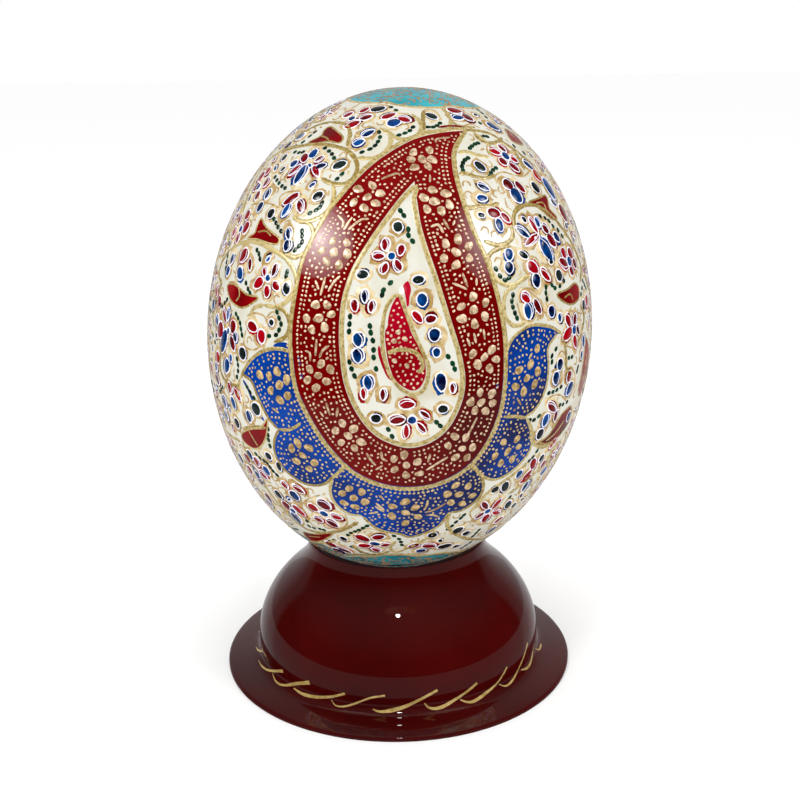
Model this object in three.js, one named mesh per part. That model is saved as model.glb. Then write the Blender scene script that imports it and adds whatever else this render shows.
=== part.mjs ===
// A painted ostrich egg standing in a spun sheet-metal stand.
// Units are millimetres, +Z is up. The origin is on the surface that the stand
// stands on, straight below the middle of the egg.

import * as THREE from 'three';

// ---- driving dimensions ----------------------------------------------------

const EGG_WIDTH = 128;              // across the egg's middle
const EGG_LENGTH = 161.4;           // from the blunt end to the other
const EGG_LEAN = 4;                 // degrees, toward +X
const EGG_FLOOR = 37.2;             // height of the egg's lowest point

const STAND_SHIFT = -1.93;          // the stand's axis from the egg's middle, along X
const BRIM_WIDTH = 122.4;           // across the stand's rim
const BRIM_EDGE = 1.3;              // height of the rim's outer edge
const BRIM_INNER_WIDTH = 107;       // where the brim's top starts to curl up into the dome
const BRIM_INNER_HEIGHT = 3;
const FILLET_HEIGHT = 3.8;          // height that the curl at the dome's foot bends about
const FOOT_WIDTH = 4.4;             // flat ring under the rim, which the stand rests on
const WALL = 1.2;                   // thickness of the spun metal
const DOME_WIDTH = 99.8;            // widest part of the stand's dome
const DOME_WAIST = 9.5;             // height of that widest part
const DOME_RISE = 36.5;             // half height of the ellipse that the dome follows
const DOME_FOOT = 6.3;              // height at which that ellipse begins
const DOME_CROWN = 33;              // height at which it gives way to the neck
const COLLAR_WIDTH = 62.6;          // outside of the collar that carries the egg
const COLLAR_FOOT = 43.5;           // height at which the collar turns upright
const SEAT_GAP = 0.3;               // clearance between the egg and the collar's lip

const EGG_SIDES = 48;
const EGG_RINGS = 26;
const STAND_SIDES = 60;
const CURVE_STEPS = 4;              // points on each short round of the stand's profile

// ---- materials -------------------------------------------------------------

const eggPaint = new THREE.MeshStandardMaterial({ color: 0xe9dfc4, roughness: 0.2, metalness: 0 });
const maroonLacquer = new THREE.MeshStandardMaterial({ color: 0x4a1416, roughness: 0.15, metalness: 0 });

// ---- the egg ---------------------------------------------------------------

const lean = THREE.MathUtils.degToRad(EGG_LEAN);
const halfWidth = EGG_WIDTH / 2;
const halfLength = EGG_LENGTH / 2;
const eggHeight = EGG_FLOOR + Math.hypot(halfLength * Math.cos(lean), halfWidth * Math.sin(lean));

// A turned solid, round about its own long axis, leaning in the stand.
function makeEgg() {
  const profile = [new THREE.Vector2(0, -halfLength)];
  for (let ring = 1; ring < EGG_RINGS; ring++) {
    const angle = (Math.PI * ring) / EGG_RINGS;
    profile.push(new THREE.Vector2(halfWidth * Math.sin(angle), -halfLength * Math.cos(angle)));
  }
  profile.push(new THREE.Vector2(0, halfLength));
  const shell = new THREE.LatheGeometry(profile, EGG_SIDES);
  shell.rotateX(Math.PI / 2);
  const egg = new THREE.Mesh(shell, eggPaint);
  egg.name = 'ostrich_egg';
  egg.rotation.y = lean;
  egg.position.set(0, 0, eggHeight);
  return egg;
}

// Height of the egg's underside above a place on the ground.
function eggUnderside(x, y) {
  const sin = Math.sin(lean);
  const cos = Math.cos(lean);
  const wide = 1 / halfWidth ** 2;
  const long = 1 / halfLength ** 2;
  const a = sin ** 2 * wide + cos ** 2 * long;
  const b = 2 * x * sin * cos * (long - wide);
  const c = x ** 2 * (cos ** 2 * wide + sin ** 2 * long) + y ** 2 * wide - 1;
  return eggHeight + (-b - Math.sqrt(b ** 2 - 4 * a * c)) / (2 * a);
}

// ---- the stand -------------------------------------------------------------

// The collar ends just under the egg, all the way round.
function lipHeight() {
  const inside = COLLAR_WIDTH / 2 - WALL;
  const right = eggUnderside(STAND_SHIFT + inside, 0);
  const left = eggUnderside(STAND_SHIFT - inside, 0);
  const front = eggUnderside(STAND_SHIFT, inside);
  return Math.min(right, left, front) - SEAT_GAP;
}

// Outer face of the spun sheet, from the rim up: a low flared brim, a hollow
// fillet, the bulged dome, a second fillet, and the upright collar.
function standOuterFace() {
  const rim = BRIM_WIDTH / 2;
  const dome = DOME_WIDTH / 2;
  const collar = COLLAR_WIDTH / 2;
  const domeFrom = Math.asin((DOME_FOOT - DOME_WAIST) / DOME_RISE);
  const domeTo = Math.asin((DOME_CROWN - DOME_WAIST) / DOME_RISE);
  const brimTop = new THREE.Vector2(BRIM_INNER_WIDTH / 2, BRIM_INNER_HEIGHT);
  const domeCurve = new THREE.EllipseCurve(0, DOME_WAIST, dome, DOME_RISE, domeFrom, domeTo);
  const domeFoot = domeCurve.getPoint(0);
  const domeTop = domeCurve.getPoint(1);
  const domeSlope = domeCurve.getTangent(1);
  const neck = domeTop.y + ((collar - domeTop.x) * domeSlope.y) / domeSlope.x;

  const face = new THREE.CurvePath();
  face.add(new THREE.LineCurve(new THREE.Vector2(rim, 0), new THREE.Vector2(rim, BRIM_EDGE)));
  face.add(new THREE.LineCurve(new THREE.Vector2(rim, BRIM_EDGE), brimTop));
  face.add(new THREE.QuadraticBezierCurve(
    brimTop, new THREE.Vector2(domeFoot.x, FILLET_HEIGHT), domeFoot));
  face.add(domeCurve);
  face.add(new THREE.QuadraticBezierCurve(
    domeTop, new THREE.Vector2(collar, neck), new THREE.Vector2(collar, COLLAR_FOOT)));
  face.add(new THREE.LineCurve(
    new THREE.Vector2(collar, COLLAR_FOOT), new THREE.Vector2(collar, lipHeight())));
  return face.getPoints(CURVE_STEPS);
}

// The same line, moved to its left by the sheet's thickness.
function offsetInward(line) {
  return line.map((point, i) => {
    const before = line[Math.max(i - 1, 0)];
    const after = line[Math.min(i + 1, line.length - 1)];
    const along = after.clone().sub(before).normalize();
    return new THREE.Vector2(point.x - along.y * WALL, point.y + along.x * WALL);
  });
}

// Hollow and open underneath: the sheet's outer face, its inner face, and the
// flat ring under the rim.
function makeStand() {
  const outer = standOuterFace();
  const brimPoints = 2;
  const inner = offsetInward(outer.slice(brimPoints)).reverse();
  const foot = new THREE.Vector2(BRIM_WIDTH / 2 - FOOT_WIDTH, 0);
  const profile = [...outer, ...inner, foot, outer[0].clone()];
  const sheet = new THREE.LatheGeometry(profile, STAND_SIDES);
  sheet.rotateX(Math.PI / 2);
  const stand = new THREE.Mesh(sheet, maroonLacquer);
  stand.name = 'stand';
  stand.position.x = STAND_SHIFT;
  return stand;
}

// ---- the whole part --------------------------------------------------------

const paintedEgg = new THREE.Group();
paintedEgg.add(makeEgg(), makeStand());

export default paintedEgg;
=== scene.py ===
import math
import random

import bpy
from mathutils import Matrix, Vector
from mathutils.geometry import delaunay_2d_cdt


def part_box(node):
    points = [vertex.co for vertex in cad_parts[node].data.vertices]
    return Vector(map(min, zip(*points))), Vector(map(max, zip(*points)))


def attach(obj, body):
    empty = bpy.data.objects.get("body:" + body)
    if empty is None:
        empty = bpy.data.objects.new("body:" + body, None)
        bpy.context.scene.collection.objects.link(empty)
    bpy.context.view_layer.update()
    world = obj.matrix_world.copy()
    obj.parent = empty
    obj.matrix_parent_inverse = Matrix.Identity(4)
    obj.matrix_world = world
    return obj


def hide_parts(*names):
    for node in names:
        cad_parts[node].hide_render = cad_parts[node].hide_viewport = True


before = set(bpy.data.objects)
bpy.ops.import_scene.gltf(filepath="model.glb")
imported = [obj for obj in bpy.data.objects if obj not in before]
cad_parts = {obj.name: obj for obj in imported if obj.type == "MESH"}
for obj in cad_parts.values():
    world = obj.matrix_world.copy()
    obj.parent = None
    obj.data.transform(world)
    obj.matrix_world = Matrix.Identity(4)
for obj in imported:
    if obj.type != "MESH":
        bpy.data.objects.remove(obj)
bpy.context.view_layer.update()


# ---- The camera -------------------------------------------------------------
# It stands in front of the egg, a little above it, and looks slightly down.
# The picture is 800 pixels square.

PICTURE_PX = 800
FOCAL_PX = 1200
PICTURE_MIDDLE_PX = (394.3, 384.1)
SENSOR_MM = 36
CAMERA_AIM_MM = Vector((-1.93, 0, 100))
CAMERA_FAR_MM = 410
CAMERA_RISE = math.radians(16.22)
CAMERA_ROLL = math.radians(-0.9)
MM = 0.001

view_back = Vector((0, -math.cos(CAMERA_RISE), math.sin(CAMERA_RISE)))
level_right = Vector((1, 0, 0))
level_up = view_back.cross(level_right)
view_right = level_right * math.cos(CAMERA_ROLL) + level_up * math.sin(CAMERA_ROLL)
view_up = level_up * math.cos(CAMERA_ROLL) - level_right * math.sin(CAMERA_ROLL)
camera_place = CAMERA_AIM_MM + view_back * CAMERA_FAR_MM

lens = bpy.data.cameras.new("camera")
lens.sensor_width = SENSOR_MM
lens.lens = SENSOR_MM * FOCAL_PX / PICTURE_PX
lens.shift_x = 0.5 - PICTURE_MIDDLE_PX[0] / PICTURE_PX
lens.shift_y = PICTURE_MIDDLE_PX[1] / PICTURE_PX - 0.5
lens.clip_start = 0.01
camera = bpy.data.objects.new("camera", lens)
turned = Matrix((view_right, view_up, view_back)).transposed().to_4x4()
camera.matrix_world = Matrix.Translation(camera_place * MM) @ turned
bpy.context.scene.collection.objects.link(camera)
bpy.context.scene.camera = camera


# ---- The stand --------------------------------------------------------------
# A low stand spun from sheet metal: a flared brim, a hollow round dome and an
# upright collar that the egg sits in. It is sprayed with deep maroon lacquer,
# which is thick and glossy and has a few dust nibs.

STAND_AXIS_MM = -1.93
STAND_SIDES = 144
RIM_MM = 61.2
RIM_ROUND_MM = [(0, 0.0), (0, 0.9), (0.25, 1.25), (0.8, 1.42)]
FOOT_MM = 56.8
WALL_MM = 1.2
BRIM_TOP_MM = (53.5, 3.0)
BRIM_FALL_MM = (3.8, -0.8)
FILLET_MM = 3.8
FILLET_STEPS = 6
DOME_MM = 49.9
DOME_WAIST_MM = 9.5
DOME_RISE_MM = 36.5
DOME_FOOT_MM = 6.3
DOME_START = -5.0
DOME_END = 40.1
DOME_STEPS = 22
NECK_MM = 38.8
NECK_STEPS = 8
COLLAR_MM = 31.3
COLLAR_FOOT_MM = 43.5
LIP_MM = 45.95
LIP_ROUND_MM = 0.3
SHARPEST_FOLD = math.radians(40)
LACQUER_ROUGHNESS = 0.32
LACQUER_COAT_ROUGHNESS = 0.02
CLOUD_SCALE = 26
FLOW_SCALE = 75
NIB_SCALE = 260
NIB_WIDTH = 0.09
NIB_HEIGHT = 0.25
LACQUER_RELIEF = 0.00012
LACQUER_DARK = (0.036, 0.0012, 0.0010, 1)
LACQUER_LIGHT = (0.060, 0.0020, 0.0017, 1)


def rounded(start, corner, end, steps):
    """Points of a round that bends from start to end about a corner."""
    points = []
    for i in range(1, steps + 1):
        t = i / steps
        points.append(start * (1 - t) ** 2 + corner * 2 * t * (1 - t) + end * t ** 2)
    return points


def dome_point(height):
    part = (height - DOME_WAIST_MM) / DOME_RISE_MM
    return Vector((DOME_MM * math.sqrt(1 - part ** 2), height))


def stand_face():
    """Radius and height of the sheet's outer face, from the rim's foot up to the collar's lip."""
    face = [Vector((RIM_MM - back, height)) for back, height in RIM_ROUND_MM]
    brim_top = Vector(BRIM_TOP_MM)
    face += [brim_top + Vector(BRIM_FALL_MM), brim_top]
    foot = dome_point(DOME_FOOT_MM)
    face += rounded(brim_top, Vector((foot.x, FILLET_MM)), foot, FILLET_STEPS)
    for i in range(1, DOME_STEPS + 1):
        turn = math.radians(DOME_START + (DOME_END - DOME_START) * i / DOME_STEPS)
        face.append(dome_point(DOME_WAIST_MM + DOME_RISE_MM * math.sin(turn)))
    collar_foot = Vector((COLLAR_MM, COLLAR_FOOT_MM))
    face += rounded(face[-1], Vector((COLLAR_MM, NECK_MM)), collar_foot, NECK_STEPS)
    face.append(Vector((COLLAR_MM, LIP_MM - LIP_ROUND_MM)))
    face.append(Vector((COLLAR_MM - LIP_ROUND_MM, LIP_MM)))
    return face


def inward(line):
    """The same line, moved to its left by the sheet's thickness."""
    moved = []
    for i, point in enumerate(line):
        along = (line[min(i + 1, len(line) - 1)] - line[max(i - 1, 0)]).normalized()
        moved.append(point + Vector((-along.y, along.x)) * WALL_MM)
    return moved


def deselect_all():
    bpy.ops.object.select_all(action="DESELECT")


def new_material(name, roughness, coat_roughness=0.06):
    """A varnished or lacquered finish, with its own nodes still to be joined."""
    material = bpy.data.materials.new(name)
    material.use_nodes = True
    shader = material.node_tree.nodes["Principled BSDF"]
    shader.inputs["Roughness"].default_value = roughness
    shader.inputs["Specular IOR Level"].default_value = 0.0
    shader.inputs["Coat Weight"].default_value = 1.0
    shader.inputs["Coat Roughness"].default_value = coat_roughness
    return material, material.node_tree.nodes, material.node_tree.links, shader


def grain(nodes, links, scale, detail):
    """A noise that lies on the object itself."""
    place = nodes.new("ShaderNodeTexCoord")
    texture = nodes.new("ShaderNodeTexNoise")
    texture.inputs["Scale"].default_value = scale
    texture.inputs["Detail"].default_value = detail
    links.new(place.outputs["Object"], texture.inputs["Vector"])
    return texture.outputs["Fac"]


def remapped(nodes, links, value, start, end, low, high):
    """A value that runs from low to high while the one given runs from start to end."""
    spread = nodes.new("ShaderNodeMapRange")
    for socket, number in (("From Min", start), ("From Max", end), ("To Min", low), ("To Max", high)):
        spread.inputs[socket].default_value = number
    links.new(value, spread.inputs["Value"])
    return spread.outputs["Result"]


def two_tones(nodes, links, value, *stops):
    """A colour that goes from one stop's to the other's, each stop a value and its colour."""
    ramp = nodes.new("ShaderNodeValToRGB")
    for element, (at, colour) in zip(ramp.color_ramp.elements, stops):
        element.position = at
        element.color = colour
    links.new(value, ramp.inputs["Fac"])
    return ramp.outputs["Color"]


def raise_relief(nodes, links, height, strength, distance, normal):
    """Turns a height into the slopes that one of the shader's normals sees."""
    bump = nodes.new("ShaderNodeBump")
    bump.inputs["Strength"].default_value = strength
    bump.inputs["Distance"].default_value = distance
    links.new(height, bump.inputs["Height"])
    links.new(bump.outputs["Normal"], normal)


outer = stand_face()
inner = inward(outer[len(RIM_ROUND_MM) + 1:-1])
inner_collar = COLLAR_MM - WALL_MM
profile = outer + [Vector((inner_collar + LIP_ROUND_MM, LIP_MM))]
profile.append(Vector((inner_collar, LIP_MM - LIP_ROUND_MM)))
profile += list(reversed(inner)) + [Vector((FOOT_MM, 0.0))]

deselect_all()
bpy.ops.mesh.primitive_circle_add(
    vertices=STAND_SIDES, radius=RIM_MM * MM, location=(STAND_AXIS_MM * MM, 0, 0))
stand = bpy.context.object
stand.name = "stand_spun"
bpy.ops.object.mode_set(mode="EDIT")
bpy.ops.mesh.select_all(action="SELECT")
middle = (STAND_AXIS_MM * MM, 0, 0)
for below, above in zip(profile, profile[1:] + profile[:1]):
    grow = above.x / below.x
    bpy.ops.mesh.extrude_edges_move(
        TRANSFORM_OT_translate={"value": (0, 0, (above.y - below.y) * MM)})
    bpy.ops.transform.resize(value=(grow, grow, 1), center_override=middle)
bpy.ops.mesh.select_all(action="SELECT")
bpy.ops.mesh.remove_doubles(threshold=0.00001)
bpy.ops.mesh.normals_make_consistent(inside=False)
bpy.ops.object.mode_set(mode="OBJECT")
bpy.ops.object.transform_apply(location=True, rotation=True, scale=True)
bpy.ops.object.shade_smooth_by_angle(angle=SHARPEST_FOLD)

lacquer, nodes, links, shader = new_material("maroon_lacquer", LACQUER_ROUGHNESS, LACQUER_COAT_ROUGHNESS)
cloud = grain(nodes, links, CLOUD_SCALE, 4)
cloud_tone = two_tones(nodes, links, cloud, (0.35, LACQUER_DARK), (0.72, LACQUER_LIGHT))
links.new(cloud_tone, shader.inputs["Base Color"])
place = nodes.new("ShaderNodeTexCoord")
nibs = nodes.new("ShaderNodeTexVoronoi")
nibs.inputs["Scale"].default_value = NIB_SCALE
links.new(place.outputs["Object"], nibs.inputs["Vector"])
relief = nodes.new("ShaderNodeMath")
relief.operation = "ADD"
nib_tops = remapped(nodes, links, nibs.outputs["Distance"], 0.0, NIB_WIDTH, NIB_HEIGHT, 0.0)
links.new(nib_tops, relief.inputs[0])
links.new(grain(nodes, links, FLOW_SCALE, 2), relief.inputs[1])
raise_relief(nodes, links, relief.outputs["Value"], 0.2, LACQUER_RELIEF, shader.inputs["Coat Normal"])
stand.data.materials.append(lacquer)
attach(stand, "root")
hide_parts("stand")


# ---- The shell --------------------------------------------------------------
# One blown ostrich egg, cleaned and given a cream ground. It leans a little
# in the stand's collar. Clear gloss varnish covers it and all the paint on it.

HALF_WIDTH_MM = 64.0
HALF_LENGTH_MM = 80.7
LEAN = math.radians(4)
SHELL_SEGMENTS = 160
SHELL_RINGS = 120
GROUND_ROUGHNESS = 0.42
MOTTLE_SCALE = 90
PORE_SCALE = 700
PORE_DEPTH = 0.00006
CREAM_DEEP = (0.59, 0.555, 0.43, 1)
CREAM_PALE = (0.69, 0.68, 0.60, 1)

shell_low, shell_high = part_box("ostrich_egg")
shell_middle = (shell_low + shell_high) / 2 / MM
lean_turn = Matrix.Rotation(LEAN, 3, "Y")

deselect_all()
bpy.ops.mesh.primitive_uv_sphere_add(
    segments=SHELL_SEGMENTS, ring_count=SHELL_RINGS, radius=1,
    location=shell_middle * MM, rotation=(0, LEAN, 0),
    scale=(HALF_WIDTH_MM * MM, HALF_WIDTH_MM * MM, HALF_LENGTH_MM * MM))
shell = bpy.context.object
shell.name = "egg_shell"
bpy.ops.object.transform_apply(location=True, rotation=True, scale=True)
bpy.ops.object.shade_smooth()

ground, nodes, links, shader = new_material("cream_ground", GROUND_ROUGHNESS)
mottle = grain(nodes, links, MOTTLE_SCALE, 6)
mottle_tone = two_tones(nodes, links, mottle, (0.28, CREAM_DEEP), (0.56, CREAM_PALE))
links.new(mottle_tone, shader.inputs["Base Color"])
pores = grain(nodes, links, PORE_SCALE, 2)
raise_relief(nodes, links, pores, 0.25, PORE_DEPTH, shader.inputs["Normal"])
shell.data.materials.append(ground)
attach(shell, "root")
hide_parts("ostrich_egg")


# ---- The red band -----------------------------------------------------------
# A wide band of deep red that bends round like a great paisley drop, laid on
# the ground coat with a flat brush. Each face of the egg has one. Its paint,
# like all the rest, lies a few hundredths of a millimetre proud of the shell.

BURIED_MM = 0.03
BAND_LIFT_MM = 0.05
BAND_GRID_MM = 3.4
OUTLINE_STEP_MM = 1.3
STROKE_SHAPE = ((0.5, 0, 0.9), (0.34, 1, 0.25), (-0.34, 1, -0.25), (-0.5, 0, -0.9))
BAND_OUTER_PX = [
    (464, 131), (440, 133), (415, 139), (392, 151), (370, 167), (347, 191), (329, 214), (315, 238),
    (304, 262), (297, 294), (292.5, 328), (293, 354), (298, 388), (311, 417), (330, 446), (354, 470),
    (379, 482), (407, 486.5), (437, 482), (465, 467), (485, 443), (498, 412), (503, 378), (503, 340),
    (497, 303), (486, 265), (470, 228), (458, 192), (452, 165), (453, 147)]
BAND_INNER_PX = [
    (414.5, 181), (400, 197), (384, 218), (366, 244), (351, 270), (342, 298), (339, 325),
    (339.5, 352), (344, 384), (355, 411), (372, 433), (391, 444), (411, 448), (432, 442), (449, 428),
    (461, 405), (465.5, 382), (461.5, 354), (450, 316), (437, 274), (428, 248), (421, 224), (417, 200)]
BAND_SLIVER_PX = [(438, 127.5), (447, 126.2), (456, 126), (464, 127.5)]
BAND_SLIVER_MM = 1.1
BAND_SLIVER_LIFT_MM = 0.1
# Painted shade: the band's tone at its middle, darker to the right and lighter upward, per mm.
BAND_SHADE_TONE = (0.43, -0.007, 0.0068)
FLAT_ROUGHNESS = 0.38
BAND_RED = (0.200, 0.0003, 0.0004, 1)
BAND_WINE = (0.065, 0.0003, 0.0004, 1)

hand = random.Random(20)


def in_ball(p):
    """A place in the egg's own space, as if the egg were a ball of radius 1."""
    return Vector((p.x / HALF_WIDTH_MM, p.y / HALF_WIDTH_MM, p.z / HALF_LENGTH_MM))


def shell_normal(p):
    across = HALF_WIDTH_MM ** 2
    return Vector((p.x / across, p.y / across, p.z / HALF_LENGTH_MM ** 2)).normalized()


def on_shell(p, lift=0.0):
    """The place on the shell that p lies over, raised by lift."""
    foot = p / in_ball(p).length
    return foot + shell_normal(foot) * lift


lean_back = lean_turn.inverted()
eye = lean_back @ (camera_place - shell_middle)


def seen(px, py):
    """The place on the shell that the camera sees at a pixel, in the egg's own space."""
    aside = view_right * (px - PICTURE_MIDDLE_PX[0]) / FOCAL_PX
    above = view_up * (PICTURE_MIDDLE_PX[1] - py) / FOCAL_PX
    ray = lean_back @ (aside + above - view_back)
    start = in_ball(eye)
    way = in_ball(ray)
    along = start.dot(way)
    room = max(along ** 2 - way.dot(way) * (start.dot(start) - 1), 0)
    return on_shell(eye + ray * (-along - math.sqrt(room)) / way.dot(way))


def flowing(points, step, closed=False):
    """Places every step along the smooth line through the given ones."""
    count = len(points)
    spans = count if closed else count - 1
    fine = []
    for i in range(spans):
        p1 = points[i]
        p2 = points[(i + 1) % count]
        p0 = points[i - 1] if closed or i > 0 else p1 * 2 - p2
        p3 = points[(i + 2) % count] if closed or i + 2 < count else p2 * 2 - p1
        pieces = max(2, math.ceil((p2 - p1).length / step * 2))
        for k in range(pieces):
            t = k / pieces
            fine.append(0.5 * (p1 * 2 + (p2 - p0) * t + (p0 * 2 - p1 * 5 + p2 * 4 - p3) * t ** 2
                               + (p1 * 3 - p0 - p2 * 3 + p3) * t ** 3))
    fine.append(points[0].copy() if closed else points[-1].copy())
    length = sum((b - a).length for a, b in zip(fine, fine[1:]))
    parts = max(3 if closed else 1, round(length / step))
    places = []
    gone = 0.0
    for a, b in zip(fine, fine[1:]):
        span = (b - a).length
        while span > 0 and len(places) * length / parts <= gone + span and len(places) < parts:
            places.append(on_shell(a.lerp(b, (len(places) * length / parts - gone) / span)))
        gone += span
    if not closed:
        places.append(on_shell(fine[-1]))
    return places


def inside(point, outline):
    """Whether a flat point is inside a flat outline."""
    x, y = point
    within = False
    for a, b in zip(outline, outline[1:] + outline[:1]):
        if (a[1] > y) != (b[1] > y) and x < a[0] + (y - a[1]) * (b[0] - a[0]) / (b[1] - a[1]):
            within = not within
    return within


def filled(outline, lift, grid, hole=(), tone=0.5):
    """A flat wash of paint inside an outline on the shell, as points, normals, faces and tones."""
    out = sum(outline, Vector()).normalized()
    right = Vector((0, 0, 1)).cross(out)
    right = (right if right.length > 0.2 else Vector((1, 0, 0))).normalized()
    up = out.cross(right).normalized()
    right = up.cross(out)

    def flat(p):
        return Vector((p.dot(right), p.dot(up))) / p.dot(out) * HALF_WIDTH_MM

    edge = [flat(p) for p in outline]
    gap = [flat(p) for p in hole]
    rim_corners = edge + gap
    corners = list(rim_corners)
    rims = [(i, (i + 1) % len(edge)) for i in range(len(edge))]
    rims += [(len(edge) + i, len(edge) + (i + 1) % len(gap)) for i in range(len(gap))]
    low_x = min(p.x for p in edge)
    high_x = max(p.x for p in edge)
    low_y = min(p.y for p in edge)
    high_y = max(p.y for p in edge)
    rows = math.ceil((high_y - low_y) / grid)
    columns = math.ceil((high_x - low_x) / grid)
    for row in range(rows):
        for column in range(columns):
            p = Vector((low_x + (column + 0.5 * (row % 2)) * grid, low_y + row * grid))
            if inside(p, edge) and not (gap and inside(p, gap)):
                if min((p - q).length for q in rim_corners) > grid * 0.55:
                    corners.append(p)
    corners, _, triangles, _, _, _ = delaunay_2d_cdt(corners, rims, [], 0, 1e-5)
    kept = []
    for a, b, c in triangles:
        middle = (corners[a] + corners[b] + corners[c]) / 3
        if inside(middle, edge) and not (gap and inside(middle, gap)):
            turned = (corners[b] - corners[a]).cross(corners[c] - corners[a]) > 0
            kept.append((a, b, c) if turned else (a, c, b))
    feet = [out * HALF_WIDTH_MM + right * p.x + up * p.y for p in corners]
    count = len(feet)
    points = [on_shell(p, lift) for p in feet] + [on_shell(p, -BURIED_MM) for p in feet]
    normals = [shell_normal(on_shell(p)) for p in feet] * 2
    faces = list(kept) + [(c + count, b + count, a + count) for a, b, c in kept]
    ways = {(f[i], f[(i + 1) % 3]) for f in kept for i in range(3)}
    for a, b in sorted(ways):
        if (b, a) not in ways:
            faces.append((b, a, a + count, b + count))
    used = sorted({i for f in faces for i in f})
    renumbered = {old: new for new, old in enumerate(used)}
    faces = [tuple(renumbered[i] for i in f) for f in faces]
    return [points[i] for i in used], [normals[i] for i in used], faces, [tone] * len(used)


def painted(name, marks, material, both_faces=True):
    """One piece of the paint, from marks in the egg's own space; the egg's back repeats its front."""
    points = []
    normals = []
    faces = []
    tones = []
    for half_turn in (1, -1) if both_faces else (1,):
        turn = Matrix.Diagonal((half_turn, half_turn, 1))
        for mark_points, mark_normals, mark_faces, mark_tones in marks:
            start = len(points)
            points += [(lean_turn @ (turn @ p) + shell_middle) * MM for p in mark_points]
            normals += [lean_turn @ (turn @ n) for n in mark_normals]
            faces += [tuple(start + i for i in f) for f in mark_faces]
            tones += mark_tones
    mesh = bpy.data.meshes.new(name)
    mesh.from_pydata(points, [], faces)
    mesh.attributes.new("tone", "FLOAT", "POINT").data.foreach_set("value", tones)
    mesh.polygons.foreach_set("use_smooth", [True] * len(mesh.polygons))
    mesh.normals_split_custom_set_from_vertices(normals)
    mesh.materials.append(material)
    piece = bpy.data.objects.new(name, mesh)
    bpy.context.scene.collection.objects.link(piece)
    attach(piece, "root")
    return piece


def paint(name, dark, light, roughness=0.4, scale=160, spread=0.5, metal=0.0):
    """Varnished paint, from dark to light with each mark's own tone and the brush's streaks."""
    material, nodes, links, shader = new_material(name, roughness)
    shader.inputs["Metallic"].default_value = metal
    sway = remapped(nodes, links, grain(nodes, links, scale, 5), 0.3, 0.7, -spread, spread)
    # On the band and the border this tone also carries painted shade.
    tone = nodes.new("ShaderNodeAttribute")
    tone.attribute_name = "tone"
    together = nodes.new("ShaderNodeMath")
    together.operation = "ADD"
    together.use_clamp = True
    blend = nodes.new("ShaderNodeMix")
    blend.data_type = "RGBA"
    blend.inputs["A"].default_value = dark
    blend.inputs["B"].default_value = light
    links.new(sway, together.inputs[0])
    links.new(tone.outputs["Fac"], together.inputs[1])
    links.new(together.outputs["Value"], blend.inputs["Factor"])
    links.new(blend.outputs["Result"], shader.inputs["Base Color"])
    return material


def seen_all(pixels):
    return [seen(*pixel) for pixel in pixels]


def traced(pixels, step, closed=False):
    """A smooth line on the shell through the places seen at some pixels."""
    return flowing(seen_all(pixels), step, closed)


def painted_shading(places, middle, across, upward):
    """Painted shade: tones that change evenly across and up the shell, from the one at its middle."""
    return [middle + place.x * across + place.z * upward for place in places]


def brush_line(path, width, lift, closed=False, ends=0.45, tone=None, ragged=0.08):
    """A stroke of an even brush along places on the shell."""
    count = len(path)
    tone = hand.random() if tone is None else tone
    points = []
    normals = []
    for i, place in enumerate(path):
        before = path[i - 1] if closed or i > 0 else place
        after = path[(i + 1) % count] if closed or i + 1 < count else place
        up = shell_normal(place)
        side = up.cross(after - before).normalized()
        wide = width * (1 + hand.uniform(-ragged, ragged))
        if not closed and i in (0, count - 1):
            wide *= ends
        for reach, height, splay in STROKE_SHAPE:
            points.append(on_shell(place + side * wide * reach, lift if height else -BURIED_MM))
            normals.append((up + side * splay).normalized())
    faces = []
    for i in range(count if closed else count - 1):
        a = 4 * i
        b = 4 * ((i + 1) % count)
        for k in range(4):
            m = (k + 1) % 4
            faces.append((a + k, a + m, b + m, b + k))
    if not closed:
        last = 4 * (count - 1)
        faces += [(3, 2, 1, 0), (last, last + 1, last + 2, last + 3)]
    return points, normals, faces, [tone] * len(points)


band_outer = flowing(seen_all(BAND_OUTER_PX + BAND_OUTER_PX[:1]), OUTLINE_STEP_MM)[:-1]
band_inner = flowing(seen_all(BAND_INNER_PX + BAND_INNER_PX[:1]), OUTLINE_STEP_MM)[:-1]
places, normals, faces, _ = filled(band_outer, BAND_LIFT_MM, BAND_GRID_MM, band_inner)
# The band's tone is painted shade: darker to the right and lighter upward.
band = (places, normals, faces, painted_shading(places, *BAND_SHADE_TONE))
sliver_path = traced(BAND_SLIVER_PX, OUTLINE_STEP_MM)
sliver = brush_line(sliver_path, BAND_SLIVER_MM, BAND_SLIVER_LIFT_MM, ends=0.2, tone=0.7)
painted("red_band", [band, sliver], paint("band_red", BAND_WINE, BAND_RED, FLAT_ROUGHNESS, 45, 0.3))


# ---- The blue border --------------------------------------------------------
# A scalloped border of ultramarine that hangs round the foot of the red band:
# a pointed leaf at each end, a round lobe next to it, and three wide lobes
# below. It runs a little way under the band, whose edge covers it.

BORDER_LIFT_MM = 0.03
BORDER_GRID_MM = 3.0
LEAF_LEFT_TOP_PX = [(289.9, 352), (281.6, 349), (271.4, 349), (261.2, 352), (251, 359.7), (244, 370),
                    (240.8, 378.8)]
LEAF_LEFT_SIDE_PX = [(243, 374.5), (251.5, 381.4), (256.7, 394), (263, 408), (269.4, 419.6), (278, 429)]
LOBE_LEFT_PX = [(279, 430), (275.3, 437), (274, 447), (276.5, 457.4), (284.2, 469), (294.4, 477.8),
                (304.6, 483.5), (316.1, 485.5), (326.3, 483), (332.7, 476.5)]
LOBE_LOW_LEFT_PX = [(332.7, 478), (330.1, 489.3), (332.7, 499.5), (340.3, 508.4), (350.5, 514.2),
                    (361.7, 515.6)]
LOBE_LOW_PX = [(363, 516.5), (373.5, 526.3), (385, 531.4), (400, 534), (410, 537), (425.5, 532.7),
               (438.3, 526.3), (445.9, 517.3), (449.7, 512)]
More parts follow.
